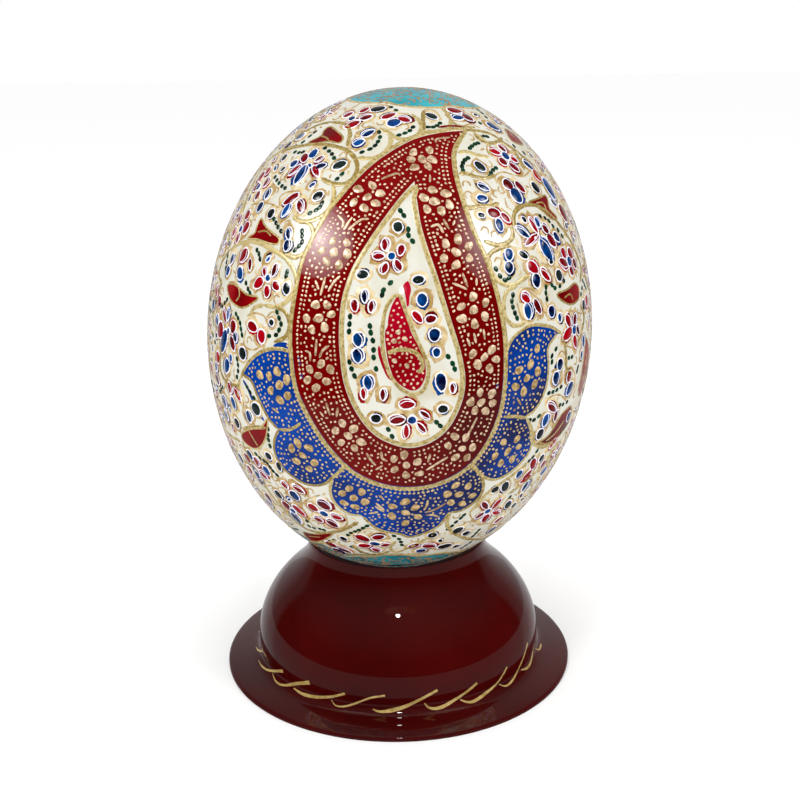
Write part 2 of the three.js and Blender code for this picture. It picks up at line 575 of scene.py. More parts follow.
LOBE_LOW_RIGHT_PX = [(450.5, 512), (460, 511), (471.4, 504.6), (480.4, 495.7), (483.5, 485.5),
                     (481.6, 477.5)]
LOBE_RIGHT_PX = [(472.7, 463.8), (481.6, 475.3), (493.1, 479.7), (505.9, 475.3), (518.6, 465),
                 (528.8, 452.3), (532.7, 438.3), (531.4, 428), (526.3, 419)]
LEAF_RIGHT_SIDE_PX = [(525, 417), (533.9, 410.7), (541.6, 399), (546.7, 384), (548.6, 364.8),
                      (548, 348), (557, 334)]
LEAF_RIGHT_TOP_PX = [(562, 334.2), (553, 327.8), (542.9, 325.3), (531.4, 325.3), (521.2, 330.4),
                     (512.2, 339.3), (506, 352)]
UNDER_BAND_PX = [(497, 380), (490, 415), (477, 440), (460, 459), (436, 474), (407, 478), (382, 474),
                 (360, 462), (338, 440), (319, 413), (305, 385), (299, 356)]
BORDER_WEDGE_PX = [(509, 346), (513, 337), (520, 330), (527, 325.5), (524, 331), (517, 338)]
BORDER_BLOB_PX = [(273, 346), (278, 342.5), (285, 342.5), (289, 345), (288, 349), (280, 348)]
BORDER_STRIP_PX = [(243, 380), (248, 389), (253, 401), (258, 411), (264, 421)]
# Painted shade: the border's tone at its middle, darker to the right and lighter upward, per mm.
BORDER_SHADE_TONE = (0.6475, -0.0085, 0.0055)
BORDER_STRIP_MM = 1.3
FINE_STEP_MM = 0.9
BORDER_BLUE = (0.0002, 0.046, 0.31, 1)
BORDER_NAVY = (0.007, 0.013, 0.075, 1)

border_lines_px = [LEAF_LEFT_TOP_PX, LEAF_LEFT_SIDE_PX, LOBE_LEFT_PX, LOBE_LOW_LEFT_PX, LOBE_LOW_PX,
                   LOBE_LOW_RIGHT_PX, LOBE_RIGHT_PX, LEAF_RIGHT_SIDE_PX, LEAF_RIGHT_TOP_PX]
border_arcs_px = border_lines_px[:6] + [LOBE_RIGHT_PX[2:]] + border_lines_px[7:]
border_edge = []
for arc in border_arcs_px + [UNDER_BAND_PX]:
    border_edge += traced(arc, OUTLINE_STEP_MM)
places, normals, faces, _ = filled(border_edge, BORDER_LIFT_MM, BORDER_GRID_MM)
# The border's tone is painted shade: darker to the right and lighter upward.
border = [(places, normals, faces, painted_shading(places, *BORDER_SHADE_TONE))]
for patch_px, tone in ((BORDER_WEDGE_PX, 0.5), (BORDER_BLOB_PX, 0.8)):
    patch = traced(patch_px, FINE_STEP_MM, True)
    border.append(filled(patch, BORDER_LIFT_MM, BORDER_GRID_MM, (), tone))
strip = traced(BORDER_STRIP_PX, FINE_STEP_MM)
border.append(brush_line(strip, BORDER_STRIP_MM, BORDER_LIFT_MM, ends=0.3, tone=0.7))
painted("blue_border", border, paint("border_blue", BORDER_NAVY, BORDER_BLUE, FLAT_ROUGHNESS, 55, 0.6))


# ---- The turquoise caps -----------------------------------------------------
# A scalloped cap of turquoise over each end of the egg, with small rusty worms
# painted on it. The lower one shows just above the stand's collar.

CAP_LIFT_MM = 0.055
CAP_GRID_MM = 1.9
CAP_SCALLOPS = 6
TOP_CAP_MM = 19.9
TOP_CAP_SWELL_MM = 1.9
TOP_CAP_TURN = -25
LOW_CAP_MM = 36.4
LOW_CAP_SWELL_MM = 3.2
LOW_CAP_TURN = -22
SCALLOP_STEPS = 8
SCALLOP_ROUND = 0.7
# Painted light and shade: the top cap has a light tone, the low one, in the collar's shade, a dark one.
TOP_CAP_LIT_TONE = 0.75
LOW_CAP_SHADED_TONE = 0.2
DAUB_TOP = 0.82
TOP_WORMS = 560
LOW_WORMS = 2600
WORM_MM = 0.44
WORM_STEP_MM = 0.6
WORM_LIFT_MM = CAP_LIFT_MM + 0.035
WORM_SPREAD = 1.03
WORM_SWERVE = 1.3
TURQUOISE_PALE = (0.028, 0.42, 0.49, 1)
TURQUOISE_DEEP = (0.004, 0.16, 0.20, 1)
RUST = (0.26, 0.095, 0.024, 1)
RUST_PALE = (0.48, 0.25, 0.08, 1)


def around(turn, out, end=1):
    """The place on the shell at a turn from its front and a way out from its axis, near one end."""
    turn = math.radians(turn)
    height = HALF_LENGTH_MM * math.sqrt(max(1 - (out / HALF_WIDTH_MM) ** 2, 0)) * end
    return Vector((out * math.sin(turn), -out * math.cos(turn), height))


def daub(middle, ahead, length, width, lift, sides=8, taper=0.0, ragged=0.06, tone=None):
    """One touch of a loaded brush: an oval or a drop, thin at its rim."""
    up = shell_normal(middle)
    ahead = (ahead - up * ahead.dot(up)).normalized()
    aside = up.cross(ahead)
    outs = []
    reaches = []
    for i in range(sides):
        turn = 2 * math.pi * (i + 0.5) / sides
        pinch = 1 - taper * (1 + math.cos(turn)) / 2
        reach = 1 + hand.uniform(-ragged, ragged)
        outs.append(ahead * math.cos(turn) + aside * math.sin(turn))
        oval = ahead * math.cos(turn) * length + aside * math.sin(turn) * width * pinch
        reaches.append(oval * reach / 2)
    points = [on_shell(middle + reach, -BURIED_MM) for reach in reaches]
    points += [on_shell(middle + reach * DAUB_TOP, lift) for reach in reaches]
    normals = [(up + out * 0.9).normalized() for out in outs]
    normals += [(up + out * 0.3).normalized() for out in outs]
    faces = [tuple(range(sides, 2 * sides)), tuple(reversed(range(sides)))]
    for i in range(sides):
        j = (i + 1) % sides
        faces.append((i, j, sides + j, sides + i))
    tone = hand.random() if tone is None else tone
    return points, normals, faces, [tone] * len(points)


def cap_edge(out, swell, first, end):
    """A cap's scalloped edge, round one end of the egg."""
    edge = []
    for i in range(CAP_SCALLOPS):
        for k in range(SCALLOP_STEPS):
            turn = first + (i + k / SCALLOP_STEPS) * 360 / CAP_SCALLOPS
            bulge = math.sin(math.pi * k / SCALLOP_STEPS) ** SCALLOP_ROUND
            edge.append(around(turn, out + swell * bulge, end))
    return edge if end > 0 else list(reversed(edge))


top_edge = cap_edge(TOP_CAP_MM, TOP_CAP_SWELL_MM, TOP_CAP_TURN, 1)
low_edge = cap_edge(LOW_CAP_MM, LOW_CAP_SWELL_MM, LOW_CAP_TURN, -1)
caps = [filled(top_edge, CAP_LIFT_MM, CAP_GRID_MM, (), TOP_CAP_LIT_TONE),
        filled(low_edge, CAP_LIFT_MM, CAP_GRID_MM, (), LOW_CAP_SHADED_TONE)]
turquoise = paint("cap_turquoise", TURQUOISE_DEEP, TURQUOISE_PALE, 0.4, 120, 0.45)
painted("turquoise_caps", caps, turquoise, False)

worms = []
for end, widest, count in ((1, TOP_CAP_MM, TOP_WORMS), (-1, LOW_CAP_MM, LOW_WORMS)):
    for _ in range(count):
        out = widest * math.sqrt(hand.random()) * WORM_SPREAD
        turn = hand.uniform(0, 360)
        start = around(turn, out, end)
        heading = hand.uniform(0, 2 * math.pi)
        up = shell_normal(start)
        east = up.cross(Vector((0.3, 1, 0.2))).normalized()
        north = up.cross(east)
        worm = [start]
        for _ in range(3):
            heading += hand.uniform(-WORM_SWERVE, WORM_SWERVE)
            way = east * math.cos(heading) + north * math.sin(heading)
            worm.append(on_shell(worm[-1] + way * WORM_STEP_MM))
        worms.append(brush_line(worm, WORM_MM, WORM_LIFT_MM, ends=0.6))
painted("rust_worms", worms, paint("worm_rust", RUST, RUST_PALE, 0.4, 200, 0.3), False)


# ---- The gold lines ---------------------------------------------------------
# Bronze-gold paint, a little grainy, drawn with a fine round brush: the outlines
# of the band and of the border, and the curling stems that part the ground into
# cells.

GOLD_LIFT_MM = 0.095
GOLD_STEP_MM = 1.1
GOLD_DEEP = (0.31, 0.215, 0.055, 1)
GOLD_PALE = (0.64, 0.52, 0.245, 1)
GRAINY_ROUGHNESS = 0.45
OUTLINE_WIDTH_MM = 1.65
INNER_LINE_MM = 1.5
BORDER_LINES_MM = (1.3, 1.15, 1.05, 1.15, 1.15, 1.15, 1.15, 1.0, 1.15)
STUB_WIDTH_MM = 1.2
STEM_WIDTH_MM = 1.5
STEM_RAGGED = 0.16
TOP_CAP_LINE_MM = 1.3
LOW_CAP_LINE_MM = 1.2
BAND_OUTER_LINE_PX = [
    (466, 128.5), (440, 130.5), (413.5, 136.7), (390, 149), (368, 165.3), (345, 189.5), (327, 212.7),
    (313, 237), (301.8, 261.4), (294.7, 294), (290.2, 328), (290.7, 354), (295.7, 388.6), (308.9, 418.2),
    (328, 447.5), (352.6, 472), (378.4, 484.4), (407, 488.9), (437.7, 484.3), (466.5, 469), (487, 444),
    (500.3, 412.6), (505.4, 378), (505.4, 340), (499.3, 302.6), (488.2, 264.3), (472.2, 227.2),
    (460.4, 191.2), (454.6, 165), (455.5, 148), (466, 130)]
BAND_INNER_LINE_PX = [
    (416.5, 186), (401.5, 200), (386, 220.5), (368.3, 245.6), (353.6, 271.5), (344.8, 299),
    (341.8, 325), (342.4, 352), (346.8, 383.3), (357.5, 409.6), (373.8, 430.8), (391.8, 441.3),
    (411, 445.2), (430.8, 439.4), (446.9, 426.2), (458.4, 403.8), (462.7, 382), (458.8, 354.6),
    (447.3, 316.8), (434.3, 274.9), (425.3, 248.9), (418.2, 224.8), (414, 201)]
STUBS_PX = [
    [(278, 429), (288, 430), (296.9, 426), (300.8, 422.8)], [(332.7, 478), (340, 471), (345, 467)],
    [(481.6, 477), (476, 470), (470, 467)], [(526, 418), (515, 416.4), (504, 417)]]
STEMS_PX = [
    [(388.8, 131), (391, 141), (385, 152), (372.2, 158), (357, 158)],
    [(380, 128), (390, 133), (396, 138), (405, 139), (415, 137), (421, 130), (420, 122), (412, 114)],
    [(423, 131), (435, 131.5), (447, 129.5), (451, 122), (448, 114), (441, 108)],
    [(451, 121), (460, 126), (475, 127.5)], [(424, 111), (423, 121), (424, 130)],
    [(283, 151), (300, 146), (320, 144), (338, 147), (350, 152.5), (356.9, 163), (356.3, 173),
     (350, 181), (340, 184.5), (328, 182), (322, 178)],
    [(300, 146), (281, 151), (266, 163), (255, 180), (247, 198), (243, 212)],
    [(333, 184), (334, 194), (331, 205), (324, 214), (312, 220.5), (300, 221), (293, 216)],
    [(298, 222), (308, 222.5), (313, 231), (311, 243), (305, 252), (295, 257.5), (285, 254)],
    [(230, 250), (240, 243.5), (252, 241.5), (263.8, 245), (275, 251), (286, 259), (293.5, 270),
     (296.3, 282), (293, 294.6), (285, 303), (276, 307), (264, 305)],
    [(276, 307), (284, 311), (289, 320), (289, 330), (284, 338), (274, 342)],
    [(230, 250), (222, 262), (219, 275), (222, 284)], [(222, 284), (216, 296), (213, 310), (214, 326)],
    [(264, 305), (254, 308), (250, 316)],
    [(331, 122), (318, 125), (303, 133), (290, 144)], [(331, 122), (345, 124), (350, 133), (347, 146)],
    [(222, 345), (220, 360), (222, 375), (229, 384), (238, 386)], [(240, 379), (238, 391), (241, 402)],
    [(212, 395), (218, 418), (228, 433), (240, 441)], [(243, 429), (255, 427.5), (266, 428)],
    [(242, 441), (248, 455), (256, 470), (268, 490), (284, 510), (300, 525)],
    [(290, 516), (300, 525), (312, 531), (330, 532.5), (345, 529), (358, 522)],
    [(310, 541), (322, 543), (336, 540)], [(352, 545), (360, 551), (375, 555), (390, 551)],
    [(396, 541), (390, 547), (396, 552), (410, 547), (424, 540), (436, 531)],
    [(463, 130), (480, 131), (493, 135), (503, 142), (513, 150), (520, 160), (524, 170)],
    [(474, 132), (479, 139), (488, 143), (497, 142), (502, 138)],
    [(474, 133), (484, 140), (490, 147), (489, 155)], [(458, 153), (466, 151.5), (477, 155), (489, 157)],
    [(459, 174), (465, 173), (474, 176), (486, 178), (496, 175)],
    [(465, 206.5), (470, 208), (480, 206), (491, 206), (499, 203)],
    [(514, 226), (514, 214), (520, 207), (530, 204.5), (541, 207.5), (552, 216), (562, 228), (570, 240),
     (577, 254), (581, 268), (580, 282)],
    [(511, 225), (513, 236), (507, 243), (497, 245), (484, 241)],
    [(489, 258), (491, 270), (497, 280), (506, 285), (515, 284.5), (523, 279), (529, 275.5)],
    [(486, 262), (491, 253), (500, 248), (510, 246)],
    [(517, 286), (508, 290), (504, 300), (504, 312), (508, 321), (515, 326), (525, 323)],
    [(580, 304), (584, 316), (582, 330), (578, 342)], [(571, 307), (569, 314)],
    [(563, 338), (566, 352), (566, 366), (570, 376)],
    [(527, 418), (531, 430), (532, 441), (541, 447), (553, 443)],
    [(553, 443), (549, 456), (538, 470), (524, 483), (508, 494)],
    [(470, 512), (484, 496), (500, 484), (514, 474), (528, 462)],
    [(452, 532), (465, 538), (480, 539), (494, 535), (505, 526)],
    [(449.7, 512), (447, 524), (452, 532)],
    [(345, 556), (358, 556), (375, 556), (396, 553.5), (418, 556), (440, 553), (455, 552), (470, 549)],
    [(505, 143), (520, 154), (534, 170), (546, 190), (556, 206)]]
FINE_STEMS_PX = [
    [(280, 206), (280, 197), (288, 192), (300, 191)], [(251, 205), (262, 203), (271, 204), (279, 208)],
    [(497, 184), (495, 176), (503, 172), (514, 175), (524, 176), (531, 169)],
    [(505, 198), (507, 207), (512, 210)], [(524, 264), (528, 257), (536, 258), (541, 268)],
    [(519, 300), (520, 292), (528, 288), (536, 293)], [(517, 303), (522, 318), (532, 321), (537, 313)],
    [(549, 294), (546, 303), (550, 310)], [(557, 358), (562, 351), (567, 359), (566, 369)],
    [(551, 372), (557, 369), (563, 376), (560, 386)], [(564, 372), (571, 367), (575, 376), (574, 390)],
    [(545, 405), (550, 397), (560, 395), (566, 401)], [(247, 316), (254, 313), (264, 316), (268, 326)],
    [(266, 318), (272, 312), (280, 313)], [(246, 330), (244, 344), (252, 350), (262, 346)],
    [(363, 102), (352, 108), (345, 112)], [(376, 117), (372, 112), (384, 108)],
    [(426, 118), (423, 111), (433, 110), (440, 116)], [(305, 515), (302, 506), (308, 499), (320, 495)],
    [(325, 530), (314, 526), (306, 517)], [(338, 530), (347, 524), (345, 514)],
    [(357, 534), (364, 529), (378, 530), (388, 535)], [(474, 522), (470, 513), (478, 506), (486, 498)],
    [(478, 524), (492, 522), (500, 512), (508, 498)], [(535, 430), (534, 440), (545, 444)],
    [(240, 292), (236, 283), (229, 282)], [(233, 310), (226, 320), (224, 333)], [(228, 330), (236, 321)],
    [(278, 496), (272, 486), (262, 486)], [(262, 447), (259, 453), (270, 463), (277, 461)],
    [(226, 384), (224, 392), (231, 402), (238, 413)], [(244, 402), (243, 413), (248, 424), (256, 420)],
    [(250, 403), (256, 400), (263, 406)], [(527, 160), (535, 166), (541, 176)],
    [(531, 182), (541, 190), (538, 196)], [(567, 209), (574, 222), (576, 234)],
    [(558, 262), (562, 246), (572, 246), (578, 260)], [(563, 322), (568, 312), (577, 313), (580, 324)],
    [(561, 336), (563, 344), (572, 348)], [(460, 128), (470, 124), (480, 128)]]
FINE_WIDTH_MM = 0.62

outer_line = traced(BAND_OUTER_LINE_PX, GOLD_STEP_MM)
inner_line = traced(BAND_INNER_LINE_PX, GOLD_STEP_MM, True)
gold_marks = [brush_line(outer_line, OUTLINE_WIDTH_MM, GOLD_LIFT_MM, tone=0.55),
              brush_line(inner_line, INNER_LINE_MM, GOLD_LIFT_MM, True, tone=0.7)]
for line, width in zip(border_lines_px, BORDER_LINES_MM):
    gold_marks.append(brush_line(traced(line, GOLD_STEP_MM), width, GOLD_LIFT_MM))
for stub in STUBS_PX:
    gold_marks.append(brush_line(traced(stub, GOLD_STEP_MM), STUB_WIDTH_MM, GOLD_LIFT_MM))
for stem in STEMS_PX:
    path = traced(stem, GOLD_STEP_MM)
    gold_marks.append(brush_line(path, STEM_WIDTH_MM, GOLD_LIFT_MM, ends=0.4, ragged=STEM_RAGGED))
cap_lines = [brush_line(top_edge, TOP_CAP_LINE_MM, GOLD_LIFT_MM, True),
             brush_line(low_edge, LOW_CAP_LINE_MM, GOLD_LIFT_MM, True)]
gold = paint("line_gold", GOLD_DEEP, GOLD_PALE, GRAINY_ROUGHNESS, 1100, 0.75, 0.25)
painted("cap_lines", cap_lines, gold, False)


# ---- The small drop ---------------------------------------------------------
# A small red paisley drop in the middle of the band, outlined and curled with
# gold, with a stripe of magenta beside it.

DROP_PX = [
    (398, 295), (393, 303), (389.8, 311.5), (388, 320), (387.9, 326), (385.5, 330), (384.9, 336.5),
    (385.6, 344.7), (386.8, 354.6), (388.5, 363), (391, 371), (393.9, 377.8), (399.7, 384.5),
    (406.3, 388.6), (413, 390.7), (419.6, 387.8), (423.7, 381), (425.8, 373.7), (425, 362), (420.8, 352),
    (417, 343.8), (412, 334), (408, 323), (404.7, 314), (401.4, 305)]
DROP_LINE_PX = [
    (399.7, 295.8), (393, 297), (386.4, 307.4), (383.9, 317.3), (382.3, 329.8), (382.3, 342.2),
    (383.5, 353), (385.6, 363), (388.9, 373), (393.9, 381.2), (399.7, 387.8), (406.3, 392.4),
    (413, 394.8), (420.4, 392.8), (425.4, 387), (427.9, 377.8), (428.7, 367), (426.2, 358.8),
    (422.1, 350.5), (417.9, 341.4), (413, 329.8), (408.8, 319.8), (405.5, 309.9), (402.2, 300.7)]
DROP_CURL_PX = [(388, 353), (393.1, 351.3), (398, 349.7), (406.3, 349.7), (414.6, 352.1), (420.4, 357.9),
                (422.9, 364.6), (421.3, 370.4), (417.9, 372)]
SLIVER_LEFT_PX = [(379, 346), (379.8, 354.6), (383, 364.6), (387.3, 374.5), (391.4, 380.3)]
SLIVER_TOP_PX = [(408, 281), (403, 286), (404.5, 292), (406, 300), (407, 307), (409, 305), (409.5, 297),
                 (411, 289)]
DROP_LIFT_MM = 0.05
DROP_GRID_MM = 2.4
SLIVER_LIFT_MM = 0.045
SLIVER_STEP_MM = 0.7
SLIVER_GRID_MM = 2.0
SLIVER_WIDTH_MM = 0.95
DROP_LINE_MM = 1.2
CURL_WIDTH_MM = 1.45
CURL_LIFT_MM = GOLD_LIFT_MM + 0.02
CRIMSON = (0.18, 0.0003, 0.0015, 1)
MAGENTA = (0.42, 0.0006, 0.018, 1)

drop_edge = traced(DROP_PX, FINE_STEP_MM)
sliver_edge = traced(SLIVER_TOP_PX, SLIVER_STEP_MM, True)
sliver_path = traced(SLIVER_LEFT_PX, FINE_STEP_MM)
crimson_marks = [filled(drop_edge, DROP_LIFT_MM, DROP_GRID_MM, (), 0.35),
                 filled(sliver_edge, SLIVER_LIFT_MM, SLIVER_GRID_MM, (), 0.9),
                 brush_line(sliver_path, SLIVER_WIDTH_MM, DROP_LIFT_MM, ends=0.3, tone=0.85)]
painted("crimson_drop", crimson_marks, paint("drop_crimson", CRIMSON, MAGENTA, FLAT_ROUGHNESS, 60, 0.45))
drop_line = traced(DROP_LINE_PX, FINE_STEP_MM, True)
drop_curl = traced(DROP_CURL_PX, FINE_STEP_MM)
gold_marks.append(brush_line(drop_line, DROP_LINE_MM, GOLD_LIFT_MM, True, tone=0.6))
gold_marks.append(brush_line(drop_curl, CURL_WIDTH_MM, CURL_LIFT_MM, ends=0.9, tone=0.5))


# ---- The red leaves ---------------------------------------------------------
# Pointed leaves of clear red among the cells, each with a gold outline and vein.

LEAVES_PX = [
    ([(329.5, 126.6), (323.7, 131), (321.2, 136), (308.4, 142.5), (314.8, 143.8), (328.8, 141.2), (339, 143),
      (342.9, 137.4), (335.2, 129.7)], [(319.9, 136), (325, 137), (328.8, 140)]),
    ([(261.2, 218.4), (256.8, 226.7), (254.8, 233), (247.2, 238.2), (257.4, 239.4), (268.9, 243.3),
      (277.8, 244), (279, 238.2), (271.4, 231.8), (265, 225.4)], [(258, 232), (266, 231), (271, 236)]),
    ([(227.4, 285.7), (233.2, 283.8), (239.5, 288.3), (247.2, 294.6), (258, 297.2), (253.6, 302.3),
      (244.6, 307.4), (237, 306), (230, 298.5)], [(239, 288), (239.5, 296), (236, 301)]),
    ([(267.6, 419), (261.2, 426.8), (251, 428.7), (242, 433.2), (243.4, 440.8), (253.6, 448.5),
      (261.2, 446), (266.3, 435.7)], [(249, 431), (253, 438), (258, 446)]),
    ([(303.3, 532), (314.8, 534), (333.9, 532), (322.4, 540.3), (311, 540.3)], [(309, 536), (320, 537)]),
    ([(528.8, 202.4), (537.8, 198.6), (545.4, 195.4), (548, 202.4), (549.2, 208.8), (556.9, 217.8),
      (551.8, 219), (542.9, 211.4), (535.2, 205.6)], [(536, 203), (543, 203), (546, 209)]),
    ([(556.9, 294.6), (567, 289.5), (574.7, 283.2), (578.6, 288.3), (578.6, 298.5), (572.2, 304.2),
      (564.5, 302.3)], [(564, 298), (570, 294), (573, 300)]),
    ([(570.9, 406.4), (569.6, 419), (563.3, 430.6), (553, 440.8), (536.5, 444.6), (546.7, 437),
      (554.3, 426.8), (562, 414)], [(546, 441), (556, 432), (564, 420)]),
    ([(586, 338), (588.5, 348), (588, 360), (585.5, 376), (580, 395), (578, 391), (581, 376), (584, 356)],
     [(582, 384), (585, 370), (586.5, 352)]),
    ([(505, 129), (512, 133), (518, 138), (523, 145), (516, 143), (510, 139)], [(509, 133), (514, 137)])]
LEAF_LIFT_MM = 0.06
LEAF_GRID_MM = 1.8
LEAF_LINE_MM = 0.7
VEIN_WIDTH_MM = 0.75
LEAF_RED = (0.33, 0.0005, 0.003, 1)
LEAF_WINE = (0.09, 0.0004, 0.0015, 1)

leaf_marks = []
for outline, vein in LEAVES_PX:
    edge = traced(outline, FINE_STEP_MM, True)
    leaf_marks.append(filled(edge, LEAF_LIFT_MM, LEAF_GRID_MM, (), 0.45))
    gold_marks.append(brush_line(edge, LEAF_LINE_MM, GOLD_LIFT_MM, True))
    vein_path = traced(vein, FINE_STEP_MM)
    gold_marks.append(brush_line(vein_path, VEIN_WIDTH_MM, GOLD_LIFT_MM, ends=0.4))
painted("red_leaves", leaf_marks, paint("leaf_red", LEAF_WINE, LEAF_RED, FLAT_ROUGHNESS, 70, 0.6))


# ---- The tan dots -----------------------------------------------------------
# Dots of thick tan-gold paint on the red and the blue: clusters of seven round
# dabs, sprigs of short strokes between them, and a scatter of tiny dots all
# round, which keep the same distance from each other.

DAB_MM = 3.0
DAB_LIFT_MM = 0.12
SPECK_MM = 0.80
SPECK_LIFT_MM = 0.10
SPECK_GAP_MM = 1.24
ROW_CROWDING = 0.5
BAND_OUTER_ROWS_MM = (1.75, 3.0)
BAND_INNER_ROWS_MM = (-1.5, -2.75)
BORDER_ROWS_MM = (1.6, 2.85)
SPRIG_WIDTH_MM = 0.85
SPRIG_STEP_MM = 0.8
BORDER_DAB_MM = 3.1
DROP_DAB_MM = 1.7
BAND_INSET_PX = 3.0
DROP_INSET_PX = 2.2
BORDER_INSET_PX = 3.4
UNDER_BAND_INSET_PX = 6.2
UNDER_BAND_CORNERS = slice(10, 24)
BAND_DARTS = 26000
DROP_DARTS = 2500
BORDER_DARTS = 16000
DOT_ROUGHNESS = 0.42
DOT_MOTTLE = (850, 0.75, 0.3)
SPECK_CELL_MM = 4
BAND_DABS_PX = [
    (413.4, 152.1), (429.6, 150.2), (410.8, 159.1), (421.9, 159.1), (432.3, 159.7), (414.4, 167.4),
    (428, 166.1), (358.2, 189.1), (372.2, 185.2), (380.5, 193.5), (367.3, 197.3), (353.7, 202.2),
    (376, 203.1), (364.2, 207.9), (332.7, 240.7), (346.7, 242.6), (321.2, 250.3), (333.9, 252.2),
    (347.3, 253.5), (326.3, 261.1), (339, 264.7), (315.2, 304.8), (326.9, 304.8), (306.5, 318.2),
    (318.4, 318.2), (331.1, 314.4), (312, 329.7), (324.4, 327.6), (320.9, 363.9), (330.4, 369.6),
    (309.7, 369.3), (318, 375.6), (307.5, 379.8), (326.9, 381.4), (316.1, 387.8), (342.5, 423.6),
    (354, 428.7), (335.6, 430.6), (348.2, 435.7), (341.2, 442.7), (361.4, 442.1), (354.7, 448.2),
    (393.9, 458.8), (404, 455), (406.3, 465), (417.5, 461.7), (394.3, 469.6), (405.9, 474.9),
    (419.6, 473.7), (454.8, 436.4), (465.7, 437.9), (448.2, 445.9), (462.2, 448.5), (472.7, 447.2),
    (455.7, 457), (467, 457.4), (480.1, 392.6), (491.6, 393.9), (470.8, 401.8), (481.4, 402.4),
    (492.7, 403.1), (474.9, 410.5), (485.5, 411), (472.7, 354), (491.6, 349.9), (484.4, 357.1),
    (495.7, 359.1), (477.8, 364.8), (489.7, 368.6), (473.1, 296.6), (485.5, 302.6), (461, 306.8),
    (473.6, 309.9), (484.8, 316.3), (461.5, 318.9), (474.9, 324), (458, 238.8), (445.7, 243.3),
    (468.9, 245.8), (456.1, 252.2), (444, 258.3), (469.3, 257.9), (455.9, 265), (432.5, 189.9),
    (446.1, 193.6), (423.7, 197.4), (434.5, 201.5), (449.5, 204.4), (427.1, 209), (441.6, 211)]
BORDER_DABS_PX = [
    (269.1, 376.3), (277.2, 371.8), (286.7, 379.8), (279.1, 385.5), (270.8, 390.3), (287.6, 395.7),
    (280.1, 400.5), (260, 375), (297.8, 443.4), (291.6, 448.2), (308.7, 447.8), (302.9, 455.7),
    (296.3, 461.2), (314.2, 462.8), (309.1, 468.9), (349, 488.6), (342, 493.4), (361.6, 492.1),
    (353.7, 498), (364.9, 502), (344.1, 503.1), (354.7, 506.9), (392.6, 506.5), (392, 516.3),
    (405.1, 502), (405.7, 512.9), (415.1, 507.8), (417.9, 516.7), (405.1, 523.1), (455.5, 485.5),
    (468.2, 486.1), (447.2, 494), (459.1, 494.4), (472.3, 495.7), (451, 502.7), (462.5, 503.6),
    (503.7, 442.3), (517, 439.2), (518.6, 446.8), (507.5, 451.9), (495, 456.1), (512.2, 459.3),
    (500.8, 463.1), (530.7, 364.2), (519.3, 369.9), (537.8, 371.2), (526.9, 378.2), (515.4, 386.5),
    (534.3, 384.6), (523.7, 391.3), (537.1, 348.2)]
DROP_DABS_PX = [(398.3, 332), (394, 341), (405, 339), (394.6, 361), (407, 366)]
BAND_SPRIGS_PX = [
    [(352.4, 217.3), (348, 223), (344, 229.7)], [(369, 219), (360.7, 219.8), (348.3, 229.7)],
    [(337.8, 215.2), (343.5, 221.6), (342.2, 228)], [(315.4, 280.6), (317, 285), (318.6, 289.5)],
    [(325.6, 276.8), (323, 286), (320.5, 295.3)], [(340.3, 276.1), (334, 282), (328.2, 291.5)],
    [(305.2, 350.8), (309.7, 353), (310.3, 361)], [(316.7, 339.3), (316, 347), (315.4, 355.9)],
    [(329.5, 345.7), (323, 350), (319.3, 357.8)], [(319.9, 411.5), (323.7, 416.6)],
    [(326.3, 402.6), (328, 409), (330.1, 415.3)], [(337.8, 407.7), (336.5, 416.6)],
    [(366.5, 453), (370, 459), (375.7, 465.4)], [(381.5, 451.3), (382, 458), (387, 461)],
    [(383, 465.4), (375.7, 469.6)], [(430.4, 453.8), (427.9, 462)], [(447.8, 457), (438, 463), (426.2, 470)],
    [(477.2, 417.2), (472, 427), (466.3, 438)], [(483.5, 329), (484.8, 339.3)], [(474, 333), (476, 343)],
    [(467, 338), (470, 346)], [(462.5, 273), (465, 280), (467.6, 287)],
    [(452.3, 283.2), (460, 286), (467, 289.5)], [(476.5, 278), (476.5, 285.7)],
    [(443.4, 219), (446, 224), (449.1, 229.2)], [(430.6, 226.7), (438.3, 224.8), (443.4, 233)],
    [(454.8, 220.3), (452.9, 225.4)], [(430, 175), (430, 182)], [(435.7, 143), (437, 139), (450, 137.4)],
    [(381.5, 179.1), (390, 175.5), (398, 173.3), (400, 176)]]
BORDER_SPRIGS_PX = [
    [(369, 513.5), (378, 512)], [(375, 506), (379, 509), (384, 511.5)], [(376, 503), (384, 510)],
    [(428, 500), (427, 505), (424, 510)], [(426, 515), (433, 515), (439, 517)],
    [(446, 503), (436, 509), (425, 512.5)], [(379, 495), (384, 500)], [(510, 462), (517, 454)],
    [(517, 398), (521, 405)], [(532, 353), (529, 359)], [(272, 408), (279, 413)]]
TAN_DEEP = (0.38, 0.235, 0.12, 1)
TAN_PALE = (0.90, 0.70, 0.48, 1)
PEACH_DEEP = (0.34, 0.205, 0.07, 1)
PEACH_PALE = (0.84, 0.61, 0.30, 1)


